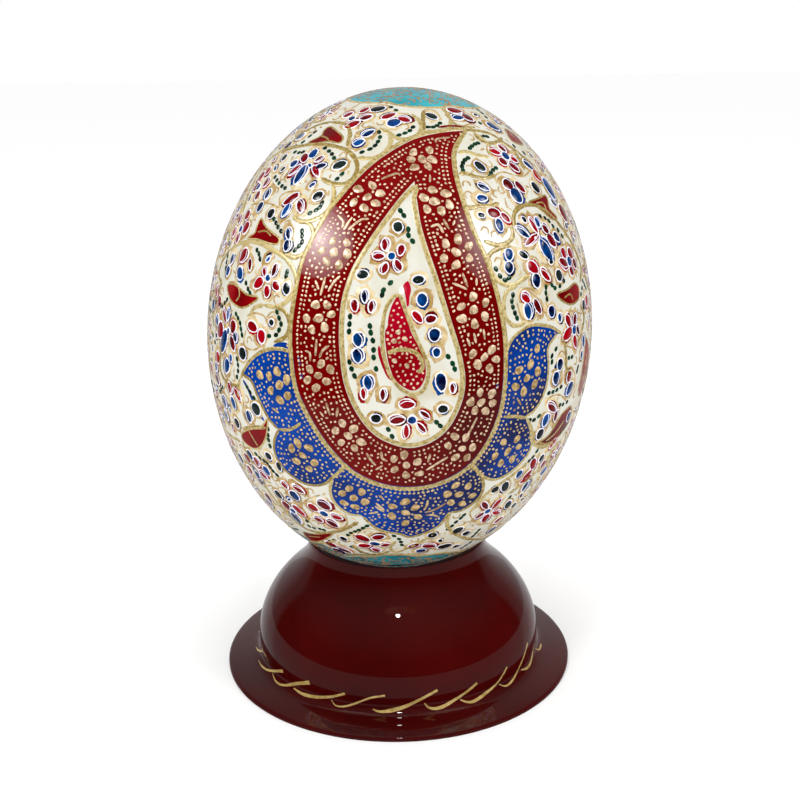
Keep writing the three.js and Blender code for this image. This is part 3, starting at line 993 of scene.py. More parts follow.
def speckled(outline_px, gap, marks_px, rows, hole_px, darts):
    """Places a gap apart inside a pixel outline, clear of the marks already there."""
    taken = {}
    places = []

    def crowded(place, radius):
        cell = [int(math.floor(c / SPECK_CELL_MM)) for c in place]
        for i in (-1, 0, 1):
            for j in (-1, 0, 1):
                for k in (-1, 0, 1):
                    for other, keep in taken.get((cell[0] + i, cell[1] + j, cell[2] + k), ()):
                        if (other - place).length < keep + radius:
                            return True
        return False

    def take(place, keep):
        cell = tuple(int(math.floor(c / SPECK_CELL_MM)) for c in place)
        taken.setdefault(cell, []).append((place, keep))

    for place, keep in marks_px:
        take(place, keep)
    for place in rows:
        if not crowded(place, gap * ROW_CROWDING):
            places.append(place)
            take(place, gap * ROW_CROWDING)
    low_x = min(x for x, _ in outline_px)
    high_x = max(x for x, _ in outline_px)
    low_y = min(y for _, y in outline_px)
    high_y = max(y for _, y in outline_px)
    for _ in range(darts):
        pixel = (hand.uniform(low_x, high_x), hand.uniform(low_y, high_y))
        if inside(pixel, outline_px) and not (hole_px and inside(pixel, hole_px)):
            place = seen(*pixel)
            if not crowded(place, gap / 2):
                places.append(place)
                take(place, gap / 2)
    return places


def edge_rows(edge, insets):
    """Rows of places along an outline, a little way in from it."""
    rows = []
    for inset in insets:
        for i, place in enumerate(edge):
            along = edge[(i + 1) % len(edge)] - edge[i - 1]
            side = shell_normal(place).cross(along).normalized()
            spot = on_shell(place + side * inset)
            if all((spot - other).length > abs(inset) * 0.85 for other in edge):
                rows.append(spot)
    return rows


def dotted(dabs, sprigs, outline_px, hole_px, rows, dab_mm, darts):
    """The dabs, sprigs and specks that fill one colour's area."""
    marks = []
    kept = []
    for pixel in dabs:
        place = seen(*pixel)
        size = dab_mm * hand.uniform(0.9, 1.1)
        heading = Vector((hand.uniform(-1, 1), 0.1, hand.uniform(-1, 1)))
        length = size * hand.uniform(1.0, 1.18)
        tone = hand.uniform(0.35, 0.65)
        marks.append(daub(place, heading, length, size, DAB_LIFT_MM, 11, 0.3, 0.1, tone))
        kept.append((place, size / 2 + 0.02))
    for sprig in sprigs:
        path = traced(sprig, SPRIG_STEP_MM)
        marks.append(brush_line(path, SPRIG_WIDTH_MM, DAB_LIFT_MM, ends=0.5, ragged=0.15))
        kept += [(place, 0.35) for place in path]
    for place in speckled(outline_px, SPECK_GAP_MM, kept, rows, hole_px, darts):
        size = SPECK_MM * hand.uniform(0.8, 1.15)
        heading = Vector((hand.uniform(-1, 1), 0.1, hand.uniform(-1, 1)))
        length = size * hand.uniform(1.05, 1.4)
        tone = hand.uniform(0.6, 1.0)
        marks.append(daub(place, heading, length, size, SPECK_LIFT_MM, 6, 0.1, 0.1, tone))
    return marks


def shrunk(outline_px, inset):
    """A pixel outline moved in by so many pixels; it runs the way the band's outer edge does."""
    moved = []
    for i, (x, y) in enumerate(outline_px):
        before = outline_px[i - 1]
        after = outline_px[(i + 1) % len(outline_px)]
        run = math.hypot(after[0] - before[0], after[1] - before[1])
        moved.append((x + (after[1] - before[1]) / run * inset, y - (after[0] - before[0]) / run * inset))
    return moved


band_rows = edge_rows(band_outer, BAND_OUTER_ROWS_MM) + edge_rows(band_inner, BAND_INNER_ROWS_MM)
band_inside_px = shrunk(BAND_OUTER_PX, BAND_INSET_PX)
band_hole_px = shrunk(BAND_INNER_PX, -BAND_INSET_PX)
band_dots = dotted(BAND_DABS_PX, BAND_SPRIGS_PX, band_inside_px, band_hole_px, band_rows, DAB_MM, BAND_DARTS)
drop_inside_px = shrunk(DROP_PX, DROP_INSET_PX)
band_dots += dotted(DROP_DABS_PX, [], drop_inside_px, (), [], DROP_DAB_MM, DROP_DARTS)
painted("band_dots", band_dots, paint("dot_tan", TAN_DEEP, TAN_PALE, DOT_ROUGHNESS, *DOT_MOTTLE))

border_px = [pixel for arc in border_arcs_px for pixel in arc]
under_band_px = shrunk(BAND_OUTER_PX, -UNDER_BAND_INSET_PX)[UNDER_BAND_CORNERS]
border_inside_px = shrunk(border_px, BORDER_INSET_PX) + list(reversed(under_band_px))
border_rim = []
for arc in border_arcs_px:
    border_rim += traced(arc, OUTLINE_STEP_MM)[:-1]
border_rim += [place for place in reversed(band_outer) if place.z < 0]
border_rows = edge_rows(border_rim, BORDER_ROWS_MM)
border_dots = dotted(BORDER_DABS_PX, BORDER_SPRIGS_PX, border_inside_px, (), border_rows, BORDER_DAB_MM,
                     BORDER_DARTS)
painted("border_dots", border_dots, paint("dot_peach", PEACH_DEEP, PEACH_PALE, DOT_ROUGHNESS, *DOT_MOTTLE))


# ---- The flowers, buds and berries ------------------------------------------
# Each petal is a touch of red or blue inside a white one, on a wash of warm
# tan; berries are black in a white ring, and rows of small green dots run
# beside the stems.

PETAL_GROWTH = 1.5
CENTRE_GROWTH = 1.25
RING_MM = 0.78
CENTRE_RING_MM = 0.6
LONGEST_MM = 6.5
GREEN_DOT_MM = (1.95, 1.5)
WASH_LIFT_MM = 0.045
UNDER_LIFT_MM = 0.062
FINE_LIFT_MM = 0.07
RING_LIFT_MM = 0.082
GREEN_LIFT_MM = 0.09
PETAL_LIFT_MM = 0.108
CENTRE_RING_LIFT_MM = 0.116
TOUCH_LIFT_MM = 0.128
CENTRE_LIFT_MM = 0.136
TOUCH_WIDTH_MM = 0.34
TOUCH_STEP_MM = 0.55
TOUCHED_SHARE = 0.45
RED_PX = [
    (247, 251, 241, 260, 6), (250, 260, 250, 269, 3), (265, 268, 265, 275, 4), (277, 265, 273, 275, 5),
    (262, 280, 255, 286, 7), (274, 283, 278, 289, 6), (267, 287, 267, 296, 5), (249, 324, 256, 329, 7),
    (261, 331, 262, 342, 6.5), (224, 310, 226, 321, 3), (222, 325, 219, 335, 5), (234, 322, 232, 332, 5),
    (231, 338, 234, 349, 4), (217, 287, 217, 295, 3.5), (220, 297, 219, 306, 3), (304, 155, 305, 161, 6),
    (323, 157, 316, 161, 3.2), (314, 167, 318, 175, 5), (300, 166, 290, 174, 3.6), (270, 168, 266, 174, 3),
    (263, 173, 260, 180, 2.6), (269, 179, 264, 186, 4.5), (259, 184, 254, 190, 2.6),
    (259, 192, 256, 199, 3), (297, 195, 285, 203, 5), (300, 201, 301, 211, 6), (249, 211, 246, 219, 3.2),
    (241, 216, 239, 223, 2.6), (248, 223, 244, 232, 5), (236, 228, 233, 236, 2.6), (239, 234, 237, 242, 3),
    (218, 353, 218, 362, 3), (211, 363, 212, 371, 2.6), (216, 374, 219, 383, 2.6), (230, 384, 230, 392, 6),
    (235, 388, 240, 399, 4.4), (245, 454, 250, 462, 2.4), (256, 458, 258, 465, 4), (260, 471, 267, 478, 3),
    (248, 466, 252, 473, 2.8), (283, 482, 287, 488, 5), (294, 486, 303, 492, 4), (284, 502, 289, 509, 4),
    (294, 506, 304, 515, 3.4), (266, 494, 271, 501, 2.6), (319, 501, 329, 508, 7.5),
    (309, 505, 317, 510, 4.6), (315, 517, 322, 521, 4), (332, 515, 341, 518, 4.6),
    (328, 520, 337, 526, 4.8), (327, 542, 337, 547, 2.8), (338, 547, 350, 552, 2.8),
    (357, 536, 368, 540, 4.6), (374, 538, 383, 536, 4), (360, 546, 369, 545, 3.4),
    (381, 545, 389, 544, 3.4), (374, 548, 379, 551, 4), (361, 112, 368, 108, 3), (361, 118, 371, 116, 4.6),
    (344, 116, 352, 113, 3.6), (346, 126, 358, 122, 6), (383, 118, 394, 114, 4), (400, 117, 409, 121, 5.5),
    (449, 110, 460, 111, 4), (463, 115, 472, 120, 3.8), (490, 149, 499, 153, 4.6), (499, 145, 505, 151, 3.4),
    (500, 159, 506, 164, 5.6), (511, 157, 517, 161, 4.4), (510, 163, 518, 170, 4.4),
    (504, 182, 512, 187, 7.4), (516, 183, 524, 191, 4.4), (489, 212, 499, 214, 8), (502, 214, 509, 221, 4.2),
    (534, 171, 540, 180, 5.4), (530, 219, 537, 231, 4), (543, 225, 548, 232, 4.6), (548, 236, 555, 245, 4.8),
    (537, 236, 527, 244, 6), (562, 249, 565, 257, 4.2), (568, 250, 572, 257, 3.6),
    (573, 260, 576, 267, 2.8), (570, 268, 573, 274, 3.2), (567, 266, 560, 261, 5.6),
    (529, 264, 537, 271, 7.5), (542, 270, 549, 279, 5), (523, 294, 529, 301, 7), (535, 301, 540, 312, 4.6),
    (567, 315, 570, 325, 5), (576, 315, 574, 325, 3.6), (577, 326, 579, 333, 2.6), (571, 330, 564, 338, 5.6),
    (574, 337, 576, 346, 3), (570, 372, 568, 381, 3.6), (549, 404, 555, 410, 6), (557, 411, 555, 420, 3),
    (533, 460, 533, 468, 4), (545, 461, 541, 467, 2.2), (531, 471, 523, 479, 2.8), (530, 476, 521, 482, 2.6),
    (483, 503, 487, 508, 5), (500, 500, 493, 508, 2.8), (494, 511, 499, 513, 4), (487, 515, 484, 521, 3.8),
    (484, 513, 476, 518, 3), (502, 518, 495, 522, 2.6), (410, 547, 418, 544, 3.2), (424, 545, 434, 546, 4),
    (386, 240, 385, 249, 7), (402, 246, 400, 254, 6), (374, 255, 383, 256, 7), (382, 272, 386, 264, 7),
    (399, 270, 396, 261, 7), (354, 301, 355, 310, 6), (373, 302, 371, 311, 6), (414, 313, 421, 321, 6),
    (427, 320, 435, 318, 6.5), (364, 389, 364, 398, 5.5), (384, 390, 383, 399, 5.5), (453, 384, 453, 392, 5),
    (401, 404, 413, 404, 8), (391, 420, 403, 419, 8), (405, 437, 406, 426, 6), (428, 418, 421, 412, 5),
    (424, 432, 418, 424, 5), (586, 296, 587, 305, 2.4), (560, 206, 566, 220, 4), (556, 440, 550, 447, 2.6)]
BLUE_PX = [
    (234, 255, 231, 263, 3), (229, 267, 227, 275, 3), (239, 269, 241, 278, 5), (229, 309, 228, 319, 2.6),
    (217, 316, 218, 324, 3.6), (226, 332, 222, 350, 4.6), (235, 333, 236, 341, 3.8), (214, 300, 213, 309, 2),
    (311, 157, 316, 150, 6), (291, 165, 297, 162, 4), (317, 167, 325, 165, 4), (306, 167, 296, 182, 6.5),
    (270, 190, 266, 198, 4), (262, 203, 258, 211, 3.8), (290, 205, 283, 215, 5), (304, 134, 297, 139, 3),
    (291, 143, 285, 148, 2.4), (289, 229, 289, 238, 5), (289, 241, 286, 250, 6.5), (228, 361, 226, 371, 4),
    (231, 355, 231, 361, 2.2), (216, 363, 217, 370, 2.2), (232, 398, 235, 408, 3), (223, 396, 226, 406, 3),
    (225, 411, 228, 419, 3), (249, 412, 250, 421, 5), (248, 451, 252, 459, 3), (239, 454, 243, 462, 2.8),
    (254, 467, 262, 483, 3.2), (264, 467, 269, 474, 4.4), (291, 492, 298, 499, 5), (293, 513, 300, 522, 3.6),
    (266, 499, 272, 506, 2.2), (334, 549, 345, 553, 3.6), (389, 124, 399, 121, 7), (363, 135, 373, 131, 5),
    (354, 143, 363, 141, 6), (453, 117, 462, 117, 4.4), (479, 184, 488, 189, 4.6), (478, 198, 486, 198, 5.4),
    (513, 190, 520, 201, 7.4), (498, 220, 501, 230, 5.6), (524, 161, 532, 168, 3.4), (544, 180, 554, 197, 4),
    (551, 199, 556, 205, 2.6), (518, 228, 528, 236, 5), (536, 218, 539, 226, 4), (554, 234, 559, 240, 3.8),
    (542, 240, 551, 258, 8), (509, 250, 509, 259, 7), (509, 263, 509, 272, 7.4), (536, 275, 537, 286, 7),
    (528, 304, 529, 317, 7.4), (551, 307, 552, 316, 5.6), (560, 314, 560, 321, 4.8),
    (560, 360, 560, 369, 4.8), (556, 373, 556, 383, 5), (572, 384, 567, 393, 4), (548, 415, 544, 425, 5.4),
    (521, 471, 517, 477, 4), (528, 482, 523, 490, 3), (584, 336, 583, 346, 2.6), (546, 468, 541, 474, 2.4),
    (417, 551, 425, 550, 2.8), (488, 124, 498, 129, 3), (582, 351, 581, 358, 2.4), (569, 413, 568, 420, 2.2),
    (365, 291, 365, 301, 6), (358.7, 334, 358.7, 345, 10), (358, 350, 358.4, 361, 10),
    (422, 295, 422.2, 305, 9), (434.5, 330, 434.5, 340, 10), (436.6, 349, 436.6, 356, 6.5),
    (440, 375, 442, 389, 9), (369, 377, 369, 388, 9), (580, 205, 585, 216, 2.4), (495, 527, 489, 532, 2.6)]
BERRY_PX = [
    (271, 320, 272, 325, 4.4), (241, 349, 244, 358, 6), (286, 284, 287, 293, 6), (286, 155, 283, 160, 3),
    (334, 167, 345, 163, 5.6), (314, 198, 322, 194, 6), (273, 210, 269, 217, 5), (255, 404, 257, 414, 6),
    (236, 419, 238, 427, 3.4), (266, 454, 271, 458, 4.4), (276, 491, 281, 498, 3), (278, 463, 280, 470, 3),
    (341, 537, 346, 540, 2.6), (372, 110, 384, 108, 4), (427, 114, 436, 118, 4), (476, 163, 484, 170, 5),
    (532, 184, 539, 191, 4.2), (520, 253, 527, 257, 4.4), (558, 271, 560, 280, 5.4), (583, 301, 584, 309, 3),
    (541, 430, 539, 438, 5.4), (543, 455, 540, 461, 3), (505, 483, 505, 490, 5), (498, 488, 492, 491, 4),
    (508, 502, 508, 507, 3.6), (515, 503, 512, 507, 3), (454, 532, 462, 528, 4.4), (463, 534, 469, 532, 3.6),
    (429, 535, 436, 535, 4.4), (439, 547, 450, 545, 3), (453, 547, 458, 545, 2.6), (397, 223, 399, 231, 7.5),
    (358, 275, 367, 274, 7), (414, 280, 423, 279, 6.5), (372, 419, 380, 418, 6.5), (439, 409, 447, 409, 6.5)]
CENTRE_PX = [
    (269, 275, 267, 281, 5), (309, 164, 311, 167, 2.5), (260, 184, 257, 190, 2.6), (242, 226, 240, 232, 2.6),
    (229, 328, 228, 334, 2), (256, 471, 259, 478, 2.6), (291, 508, 295, 513, 2.6), (320, 512, 328, 515, 4),
    (370, 543, 380, 544, 3.4), (349, 120, 355, 117, 3.2), (502, 153, 509, 159, 5), (567, 258, 571, 264, 4),
    (574, 325, 574, 334, 3.6), (485, 511, 490, 511, 3.4), (388, 256, 395, 256, 7), (408, 420, 416, 420, 7)]
GREEN_PX = [
    [(257, 250), (259, 254), (260, 259)], [(246, 283), (248, 289), (250, 293)],
    [(236, 314), (238, 318), (240, 323), (241, 329), (242, 335)],
    [(277, 312), (279, 318), (281, 324), (279, 330), (276, 335), (269, 336)], [(287, 272), (286, 276)],
    [(237, 359), (238, 365), (238, 371), (237, 377)], [(247, 387), (250, 392), (254, 398)],
    [(325, 148), (329, 151), (332, 154), (334, 158)], [(295, 152), (299, 152.6), (303, 152)],
    [(342, 174), (337, 179)], [(275, 177), (277, 180), (279, 183), (282, 186), (285, 188)],
    [(274, 219), (276, 223), (278, 227), (281, 231)], [(322, 203), (320, 207), (316, 210), (310, 213)],
    [(302, 231), (302, 236), (302, 242), (299, 246), (295, 250)],
    [(315, 132), (310, 136), (303, 142), (295, 146)], [(268, 429), (268, 435), (268.5, 440), (270, 446)],
    [(256, 454), (260, 458), (264, 461), (267, 463), (270, 467), (273, 471), (277, 475)],
    [(307, 521), (309, 526), (314, 528)], [(320, 529), (324, 530)],
    [(367, 526), (363, 528), (359, 530), (355, 531.5), (351, 533), (348, 535)], [(334, 540), (330, 541)],
    [(352, 547), (357, 549), (361, 552), (367, 553.5), (374, 554.5)],
    [(394, 536), (399, 539), (401, 542), (402, 545)], [(391, 107), (396, 110)],
    [(413, 127), (410, 130.5), (405, 133), (399, 135)],
    [(379, 132), (380, 137), (378, 141.5), (375, 145.5), (370, 149), (362, 152)],
    [(440, 123), (437, 125.5), (433, 127), (428, 127)], [(481, 137), (484, 136), (487, 136.5)],
    [(470, 148), (472, 146), (475, 144), (478, 143)],
    [(468, 158), (465, 160), (463, 163), (462, 166.5), (463, 170)],
    [(490, 176), (491, 173), (493, 170), (496, 168)], [(514, 146)], [(524, 153)], [(480, 123)],
    [(540, 216), (545, 218), (549, 221), (553, 226), (558, 230), (562, 236)],
    [(496, 269), (500, 276), (505, 280), (509, 278)], [(552, 285), (555, 288), (560, 286), (564, 281)],
    [(546, 287), (546, 293), (547, 299)], [(513, 295), (512, 301), (513, 307), (515, 313), (517, 318)],
    [(556, 349), (552, 356), (552, 362)], [(566, 354), (569, 358), (572, 357)],
    [(549, 393), (553, 392), (557, 390), (561, 387)], [(560, 405), (563, 404.5), (567, 402)],
    [(530, 420), (534, 420), (539, 416)], [(537, 451), (533, 457), (529, 461), (525, 465)],
    [(513, 491), (510, 497)], [(464, 515), (461, 518)], [(456, 522), (452, 526), (448, 529)],
    [(473, 536), (476, 533), (479, 530)], [(582, 288), (581, 294)], [(584, 319), (583, 325)],
    [(578, 367), (577, 371)], [(564, 428), (561, 432)], [(486, 117), (482, 113), (478, 110)],
    [(216, 302)], [(221, 305)], [(212, 382), (214, 390), (217, 398)], [(213, 335), (215, 342)],
    [(350, 316.5), (349.5, 324), (349, 331.4)],
    [(369.9, 326), (370.7, 332.7), (372.8, 340.5), (373.6, 350), (373.6, 357.5), (376, 369)],
    [(349.5, 362), (351.6, 369), (354.5, 376)], [(448.2, 356.7), (452.8, 363.7), (454.8, 369.1)],
    [(388.3, 429.5), (392, 436.4)], [(436.6, 422.3), (440.3, 426)], [(400.4, 210.6), (403.8, 215.4)],
    [(408.2, 229.3), (408.4, 235.3), (412.6, 241.1)], [(390.6, 282.8), (383.4, 290.2), (382.1, 294.8)]]
RED_DEEP = (0.060, 0.0004, 0.001, 1)
RED_CLEAR = (0.36, 0.0006, 0.006, 1)
BLUE_DEEP = (0.0008, 0.002, 0.022, 1)
BLUE_CLEAR = (0.0006, 0.060, 0.26, 1)
BLACK_DEEP = (0.003, 0.005, 0.006, 1)
BLACK_PALE = (0.012, 0.022, 0.020, 1)
GREEN_DEEP = (0.002, 0.012, 0.005, 1)
GREEN_PALE = (0.004, 0.045, 0.016, 1)
WHITE_COOL = (0.78, 0.79, 0.95, 1)
WHITE_WARM = (0.90, 0.90, 0.92, 1)
WASH_DEEP = (0.40, 0.25, 0.085, 1)
WASH_PALE = (0.74, 0.60, 0.35, 1)

flower_marks = {"red": [], "blue": [], "black": [], "green": [], "white": [], "wash": []}


def between(x0, y0, x1, y1, width_px):
    """Middle, heading, length and width of a touch seen between two pixels."""
    start = seen(x0, y0)
    end = seen(x1, y1)
    run = math.hypot(x1 - x0, y1 - y0)
    across = ((y1 - y0) / run * width_px / 2, (x0 - x1) / run * width_px / 2)
    x = (x0 + x1) / 2
    y = (y0 + y1) / 2
    width = (seen(x + across[0], y + across[1]) - seen(x - across[0], y - across[1])).length
    length = (end - start).length
    return on_shell((start + end) / 2), (end - start) / length, min(length, LONGEST_MM), min(width, length)


def petal(spot, heading, length, width, colour):
    """One petal: a wash, colour, a white touch, and the colour again inside it, a little aside."""
    width = max(width * PETAL_GROWTH, 1.0)
    length = max(length * PETAL_GROWTH, 1.4)
    aside = shell_normal(spot).cross(heading).normalized()
    slip = aside * hand.uniform(-0.6, 0.6) + heading * hand.uniform(-0.2, 0.6)
    wash_spot = spot + aside * hand.uniform(-0.4, 0.4)
    wash_length = length + hand.uniform(2.0, 3.6)
    wash_width = width + hand.uniform(1.9, 3.3)
    flower_marks["wash"].append(daub(wash_spot, heading, wash_length, wash_width, WASH_LIFT_MM, 12, 0.0, 0.2))
    flower_marks[colour].append(daub(spot + slip, heading, length + 1.0, width + 0.85, UNDER_LIFT_MM, 9))
    ring = daub(spot, heading, length + RING_MM, width + RING_MM, RING_LIFT_MM, 12, 0.2, 0.05)
    flower_marks["white"].append(ring)
    tone = hand.uniform(0.1, 0.85)
    flower_marks[colour].append(daub(spot, heading, length, width, PETAL_LIFT_MM, 11, 0.3, tone=tone))
    if min(length, width) > 1.7 and hand.random() < TOUCHED_SHARE:
        curl = []
        for ahead, out in ((-0.42, -0.05), (-0.1, 0.22), (0.25, 0.2), (0.5, 0)):
            curl.append(spot + heading * length * ahead + aside * width * out)
        touch = brush_line(flowing(curl, TOUCH_STEP_MM), TOUCH_WIDTH_MM, TOUCH_LIFT_MM, ends=0.5)
        flower_marks["white"].append(touch)


def centre(spot, heading, length, width):
    """The blue middle of a flower, in a white ring."""
    width = max(width * CENTRE_GROWTH, 1.1)
    length = max(length * CENTRE_GROWTH, 1.2)
    ring = daub(spot, heading, length + CENTRE_RING_MM, width + CENTRE_RING_MM, CENTRE_RING_LIFT_MM, 10)
    flower_marks["white"].append(ring)
    tone = hand.uniform(0.3, 0.7)
    flower_marks["blue"].append(daub(spot, heading, length, width, CENTRE_LIFT_MM, 10, tone=tone))


def berry(spot, heading, length, width):
    """A black berry in a white ring, on a wash and a little blue."""
    width = max(width * PETAL_GROWTH, 1.0)
    length = max(length * PETAL_GROWTH, 1.3)
    aside = shell_normal(spot).cross(heading).normalized()
    slip = aside * hand.choice((-0.6, 0.6)) + heading * 0.4
    wash = daub(spot, heading, length + 2.4, width + 2.3, WASH_LIFT_MM, 12, 0.0, 0.14)
    flower_marks["wash"].append(wash)
    flower_marks["blue"].append(daub(spot + slip, heading, length, width, UNDER_LIFT_MM, 9, tone=0.2))
    ring = daub(spot, heading, length + RING_MM, width + RING_MM, RING_LIFT_MM, 12, 0.1)
    flower_marks["white"].append(ring)
    flower_marks["black"].append(daub(spot, heading, length, width, PETAL_LIFT_MM, 11, 0.1))


def green_row(places):
    """Green dots at a row of places, each lying along it."""
    for i, place in enumerate(places):
        along = places[min(i + 1, len(places) - 1)] - places[max(i - 1, 0)]
        if len(places) == 1:
            along = Vector((0.3, 0, 1))
        flower_marks["green"].append(daub(place, along, *GREEN_DOT_MM, GREEN_LIFT_MM, 9))


for touch in RED_PX:
    petal(*between(*touch), "red")
for touch in BLUE_PX:
    petal(*between(*touch), "blue")
for touch in BERRY_PX:
    berry(*between(*touch))
for touch in CENTRE_PX:
    centre(*between(*touch))
for row in GREEN_PX:
    green_row(seen_all(row))
for stem in FINE_STEMS_PX:
    path = traced(stem, FINE_STEP_MM)
    fine = brush_line(path, FINE_WIDTH_MM, FINE_LIFT_MM, ends=0.4, ragged=0.25, tone=0.15)
    flower_marks["wash"].append(fine)

# The ground between them, round the sides and over the back, is filled in the
# same way: flowers in curls of gold, buds, berries and rows of dots.

FILL_CELL_MM = 4
FRONT_TURN = 58
LOWEST_FRONT_MM = -60
TOP_KEEP_MM = 24.5
LOW_KEEP_MM = 41.0
CAP_FROM_MM = 40
WIDEST_MARK_MM = 3
CROWDING = 0.82
FILL_LOWEST = -0.88
FILL_HIGHEST = 0.97
BORDER_BACK_PX = [(497, 380), (407, 478), (299, 356)]
FILLINGS = [("flower", 5.2, 1500), ("bud", 3.3, 2500), ("berry", 2.4, 3500), ("dots", 2.1, 2500),
            ("hook", 1.5, 6000), ("dot", 1.15, 5000)]

border_all_px = border_px + BORDER_BACK_PX
filled_cells = {}


def half_turned(place):
    return Vector((-place.x, -place.y, place.z))


def keep_clear(place, radius):
    """Marks a place as taken, and the same place on the egg's other face."""
    for spot in (place, half_turned(place)):
        cell = tuple(int(math.floor(c / FILL_CELL_MM)) for c in spot)
        filled_cells.setdefault(cell, []).append((spot, radius))


def is_clear(place, radius):
    """Whether no mark lies within a radius of a place."""
    reach = math.ceil((radius + WIDEST_MARK_MM) / FILL_CELL_MM)
    cell = [int(math.floor(c / FILL_CELL_MM)) for c in place]
    for i in range(-reach, reach + 1):
        for j in range(-reach, reach + 1):
            for k in range(-reach, reach + 1):
                for spot, kept in filled_cells.get((cell[0] + i, cell[1] + j, cell[2] + k), ()):
                    if (spot - place).length < kept + radius:
                        return False
    return True


def on_ground(place):
    """Whether a place is on the cream ground, clear of band, border and caps."""
    out = math.hypot(place.x, place.y)
    if out < (TOP_KEEP_MM if place.z > 0 else LOW_KEEP_MM) and abs(place.z) > CAP_FROM_MM:
        return False
    spot = place if place.y < 0 else half_turned(place)
    if (eye - spot).dot(shell_normal(spot)) <= 0:
        return True
    way = lean_turn @ spot + shell_middle - camera_place
    depth = -way.dot(view_back)
    pixel = (PICTURE_MIDDLE_PX[0] + FOCAL_PX * way.dot(view_right) / depth,
             PICTURE_MIDDLE_PX[1] - FOCAL_PX * way.dot(view_up) / depth)
    return not inside(pixel, BAND_OUTER_PX) and not inside(pixel, border_all_px)


for touch in RED_PX + BLUE_PX + BERRY_PX + CENTRE_PX:
    keep_clear(between(*touch)[0], 1.9)
for row in GREEN_PX:
    for place in seen_all(row):
        keep_clear(place, 1.0)
for line in STEMS_PX + [BAND_OUTER_LINE_PX] + border_lines_px:
    for place in traced(line, 1.5):
        keep_clear(place, 0.75)
for stem in FINE_STEMS_PX:
    for place in traced(stem, 1.2):
        keep_clear(place, 0.4)
for outline, vein in LEAVES_PX:
    for place in traced(outline, 1.5, True) + seen_all(vein):
        keep_clear(place, 1.6)

for kind, radius, darts in FILLINGS:
    for _ in range(darts):
        height = hand.uniform(FILL_LOWEST, FILL_HIGHEST) * HALF_LENGTH_MM
        out = HALF_WIDTH_MM * math.sqrt(1 - (height / HALF_LENGTH_MM) ** 2)
        turn = hand.uniform(-math.pi / 2, math.pi / 2)
        place = Vector((out * math.sin(turn), -out * math.cos(turn), height))
        in_front = abs(math.degrees(turn)) < FRONT_TURN and height > LOWEST_FRONT_MM
        if in_front and kind in ("flower", "bud", "dots"):
            continue
        if not on_ground(place) or not is_clear(place, radius * CROWDING):
            continue
        up = shell_normal(place)
        east = Vector((0, 0, 1)).cross(up).normalized()
        north = up.cross(east)
        first = hand.uniform(0, 2 * math.pi)
        headings = [first + a * math.pi / 5 for a in range(10)]
        ways = [east * math.cos(heading) + north * math.sin(heading) for heading in headings]
        if kind == "flower":
            for way in ways[::2]:
                colour = "red" if hand.random() < 0.75 else "blue"
                petal(on_shell(place + way * 2.3), way, 1.9, 1.25, colour)
            centre(place, ways[0], 1.2, 1.1)
            curl = [on_shell(place + way * hand.uniform(4.7, 5.3)) for way in ways[:8]]
            path = flowing(curl, GOLD_STEP_MM)
            gold_marks.append(brush_line(path, STUB_WIDTH_MM, GOLD_LIFT_MM, ends=0.4, ragged=STEM_RAGGED))
        elif kind == "bud":
            for way, colour in ((ways[0], "red"), (ways[3], "red"), (ways[6], "blue")):
                petal(on_shell(place + way * 1.45), way, 1.6, 1.2, colour)
        elif kind == "berry":
            if hand.random() < 0.5:
                berry(place, ways[0], 1.7, 1.2)
            else:
                petal(place, ways[0], 1.7, 1.2, hand.choice(("red", "blue")))
        elif kind == "hook":
            hook = [on_shell(place + ways[k] * 1.3) for k in (0, 2, 4, 6)]
            path = flowing(hook, 0.6)
            flower_marks["wash"].append(brush_line(path, FINE_WIDTH_MM, FINE_LIFT_MM, ends=0.4, tone=0.15))
        elif kind == "dots":
            green_row([on_shell(place + ways[0] * k) for k in (-1.9, 0, 1.9)])
        else:
            flower_marks["wash"].append(daub(place, ways[0], 1.9, 1.0, FINE_LIFT_MM, 8, 0.3, 0.2))
        keep_clear(place, radius * CROWDING)

painted("tan_washes", flower_marks["wash"],
        paint("wash_tan", WASH_DEEP, WASH_PALE, GRAINY_ROUGHNESS, 420, 0.55))
painted("red_petals", flower_marks["red"],
        paint("petal_red", RED_DEEP, RED_CLEAR, FLAT_ROUGHNESS, 240, 0.35))
painted("blue_petals", flower_marks["blue"],
        paint("petal_blue", BLUE_DEEP, BLUE_CLEAR, FLAT_ROUGHNESS, 420, 0.45))
painted("black_berries", flower_marks["black"],
        paint("berry_black", BLACK_DEEP, BLACK_PALE, FLAT_ROUGHNESS, 300, 0.4))
painted("green_dots", flower_marks["green"],
        paint("dot_green", GREEN_DEEP, GREEN_PALE, FLAT_ROUGHNESS, 300, 0.4))
painted("white_touches", flower_marks["white"],
        paint("touch_white", WHITE_COOL, WHITE_WARM, 0.4, 200, 0.4))
painted("gold_lines", gold_marks, gold)


# ---- The strokes on the stand -----------------------------------------------
# Short brush strokes in gold paint round the foot of the dome, each leaning over
# the brim, laid one after the other by hand. The stand's back has the same ones.

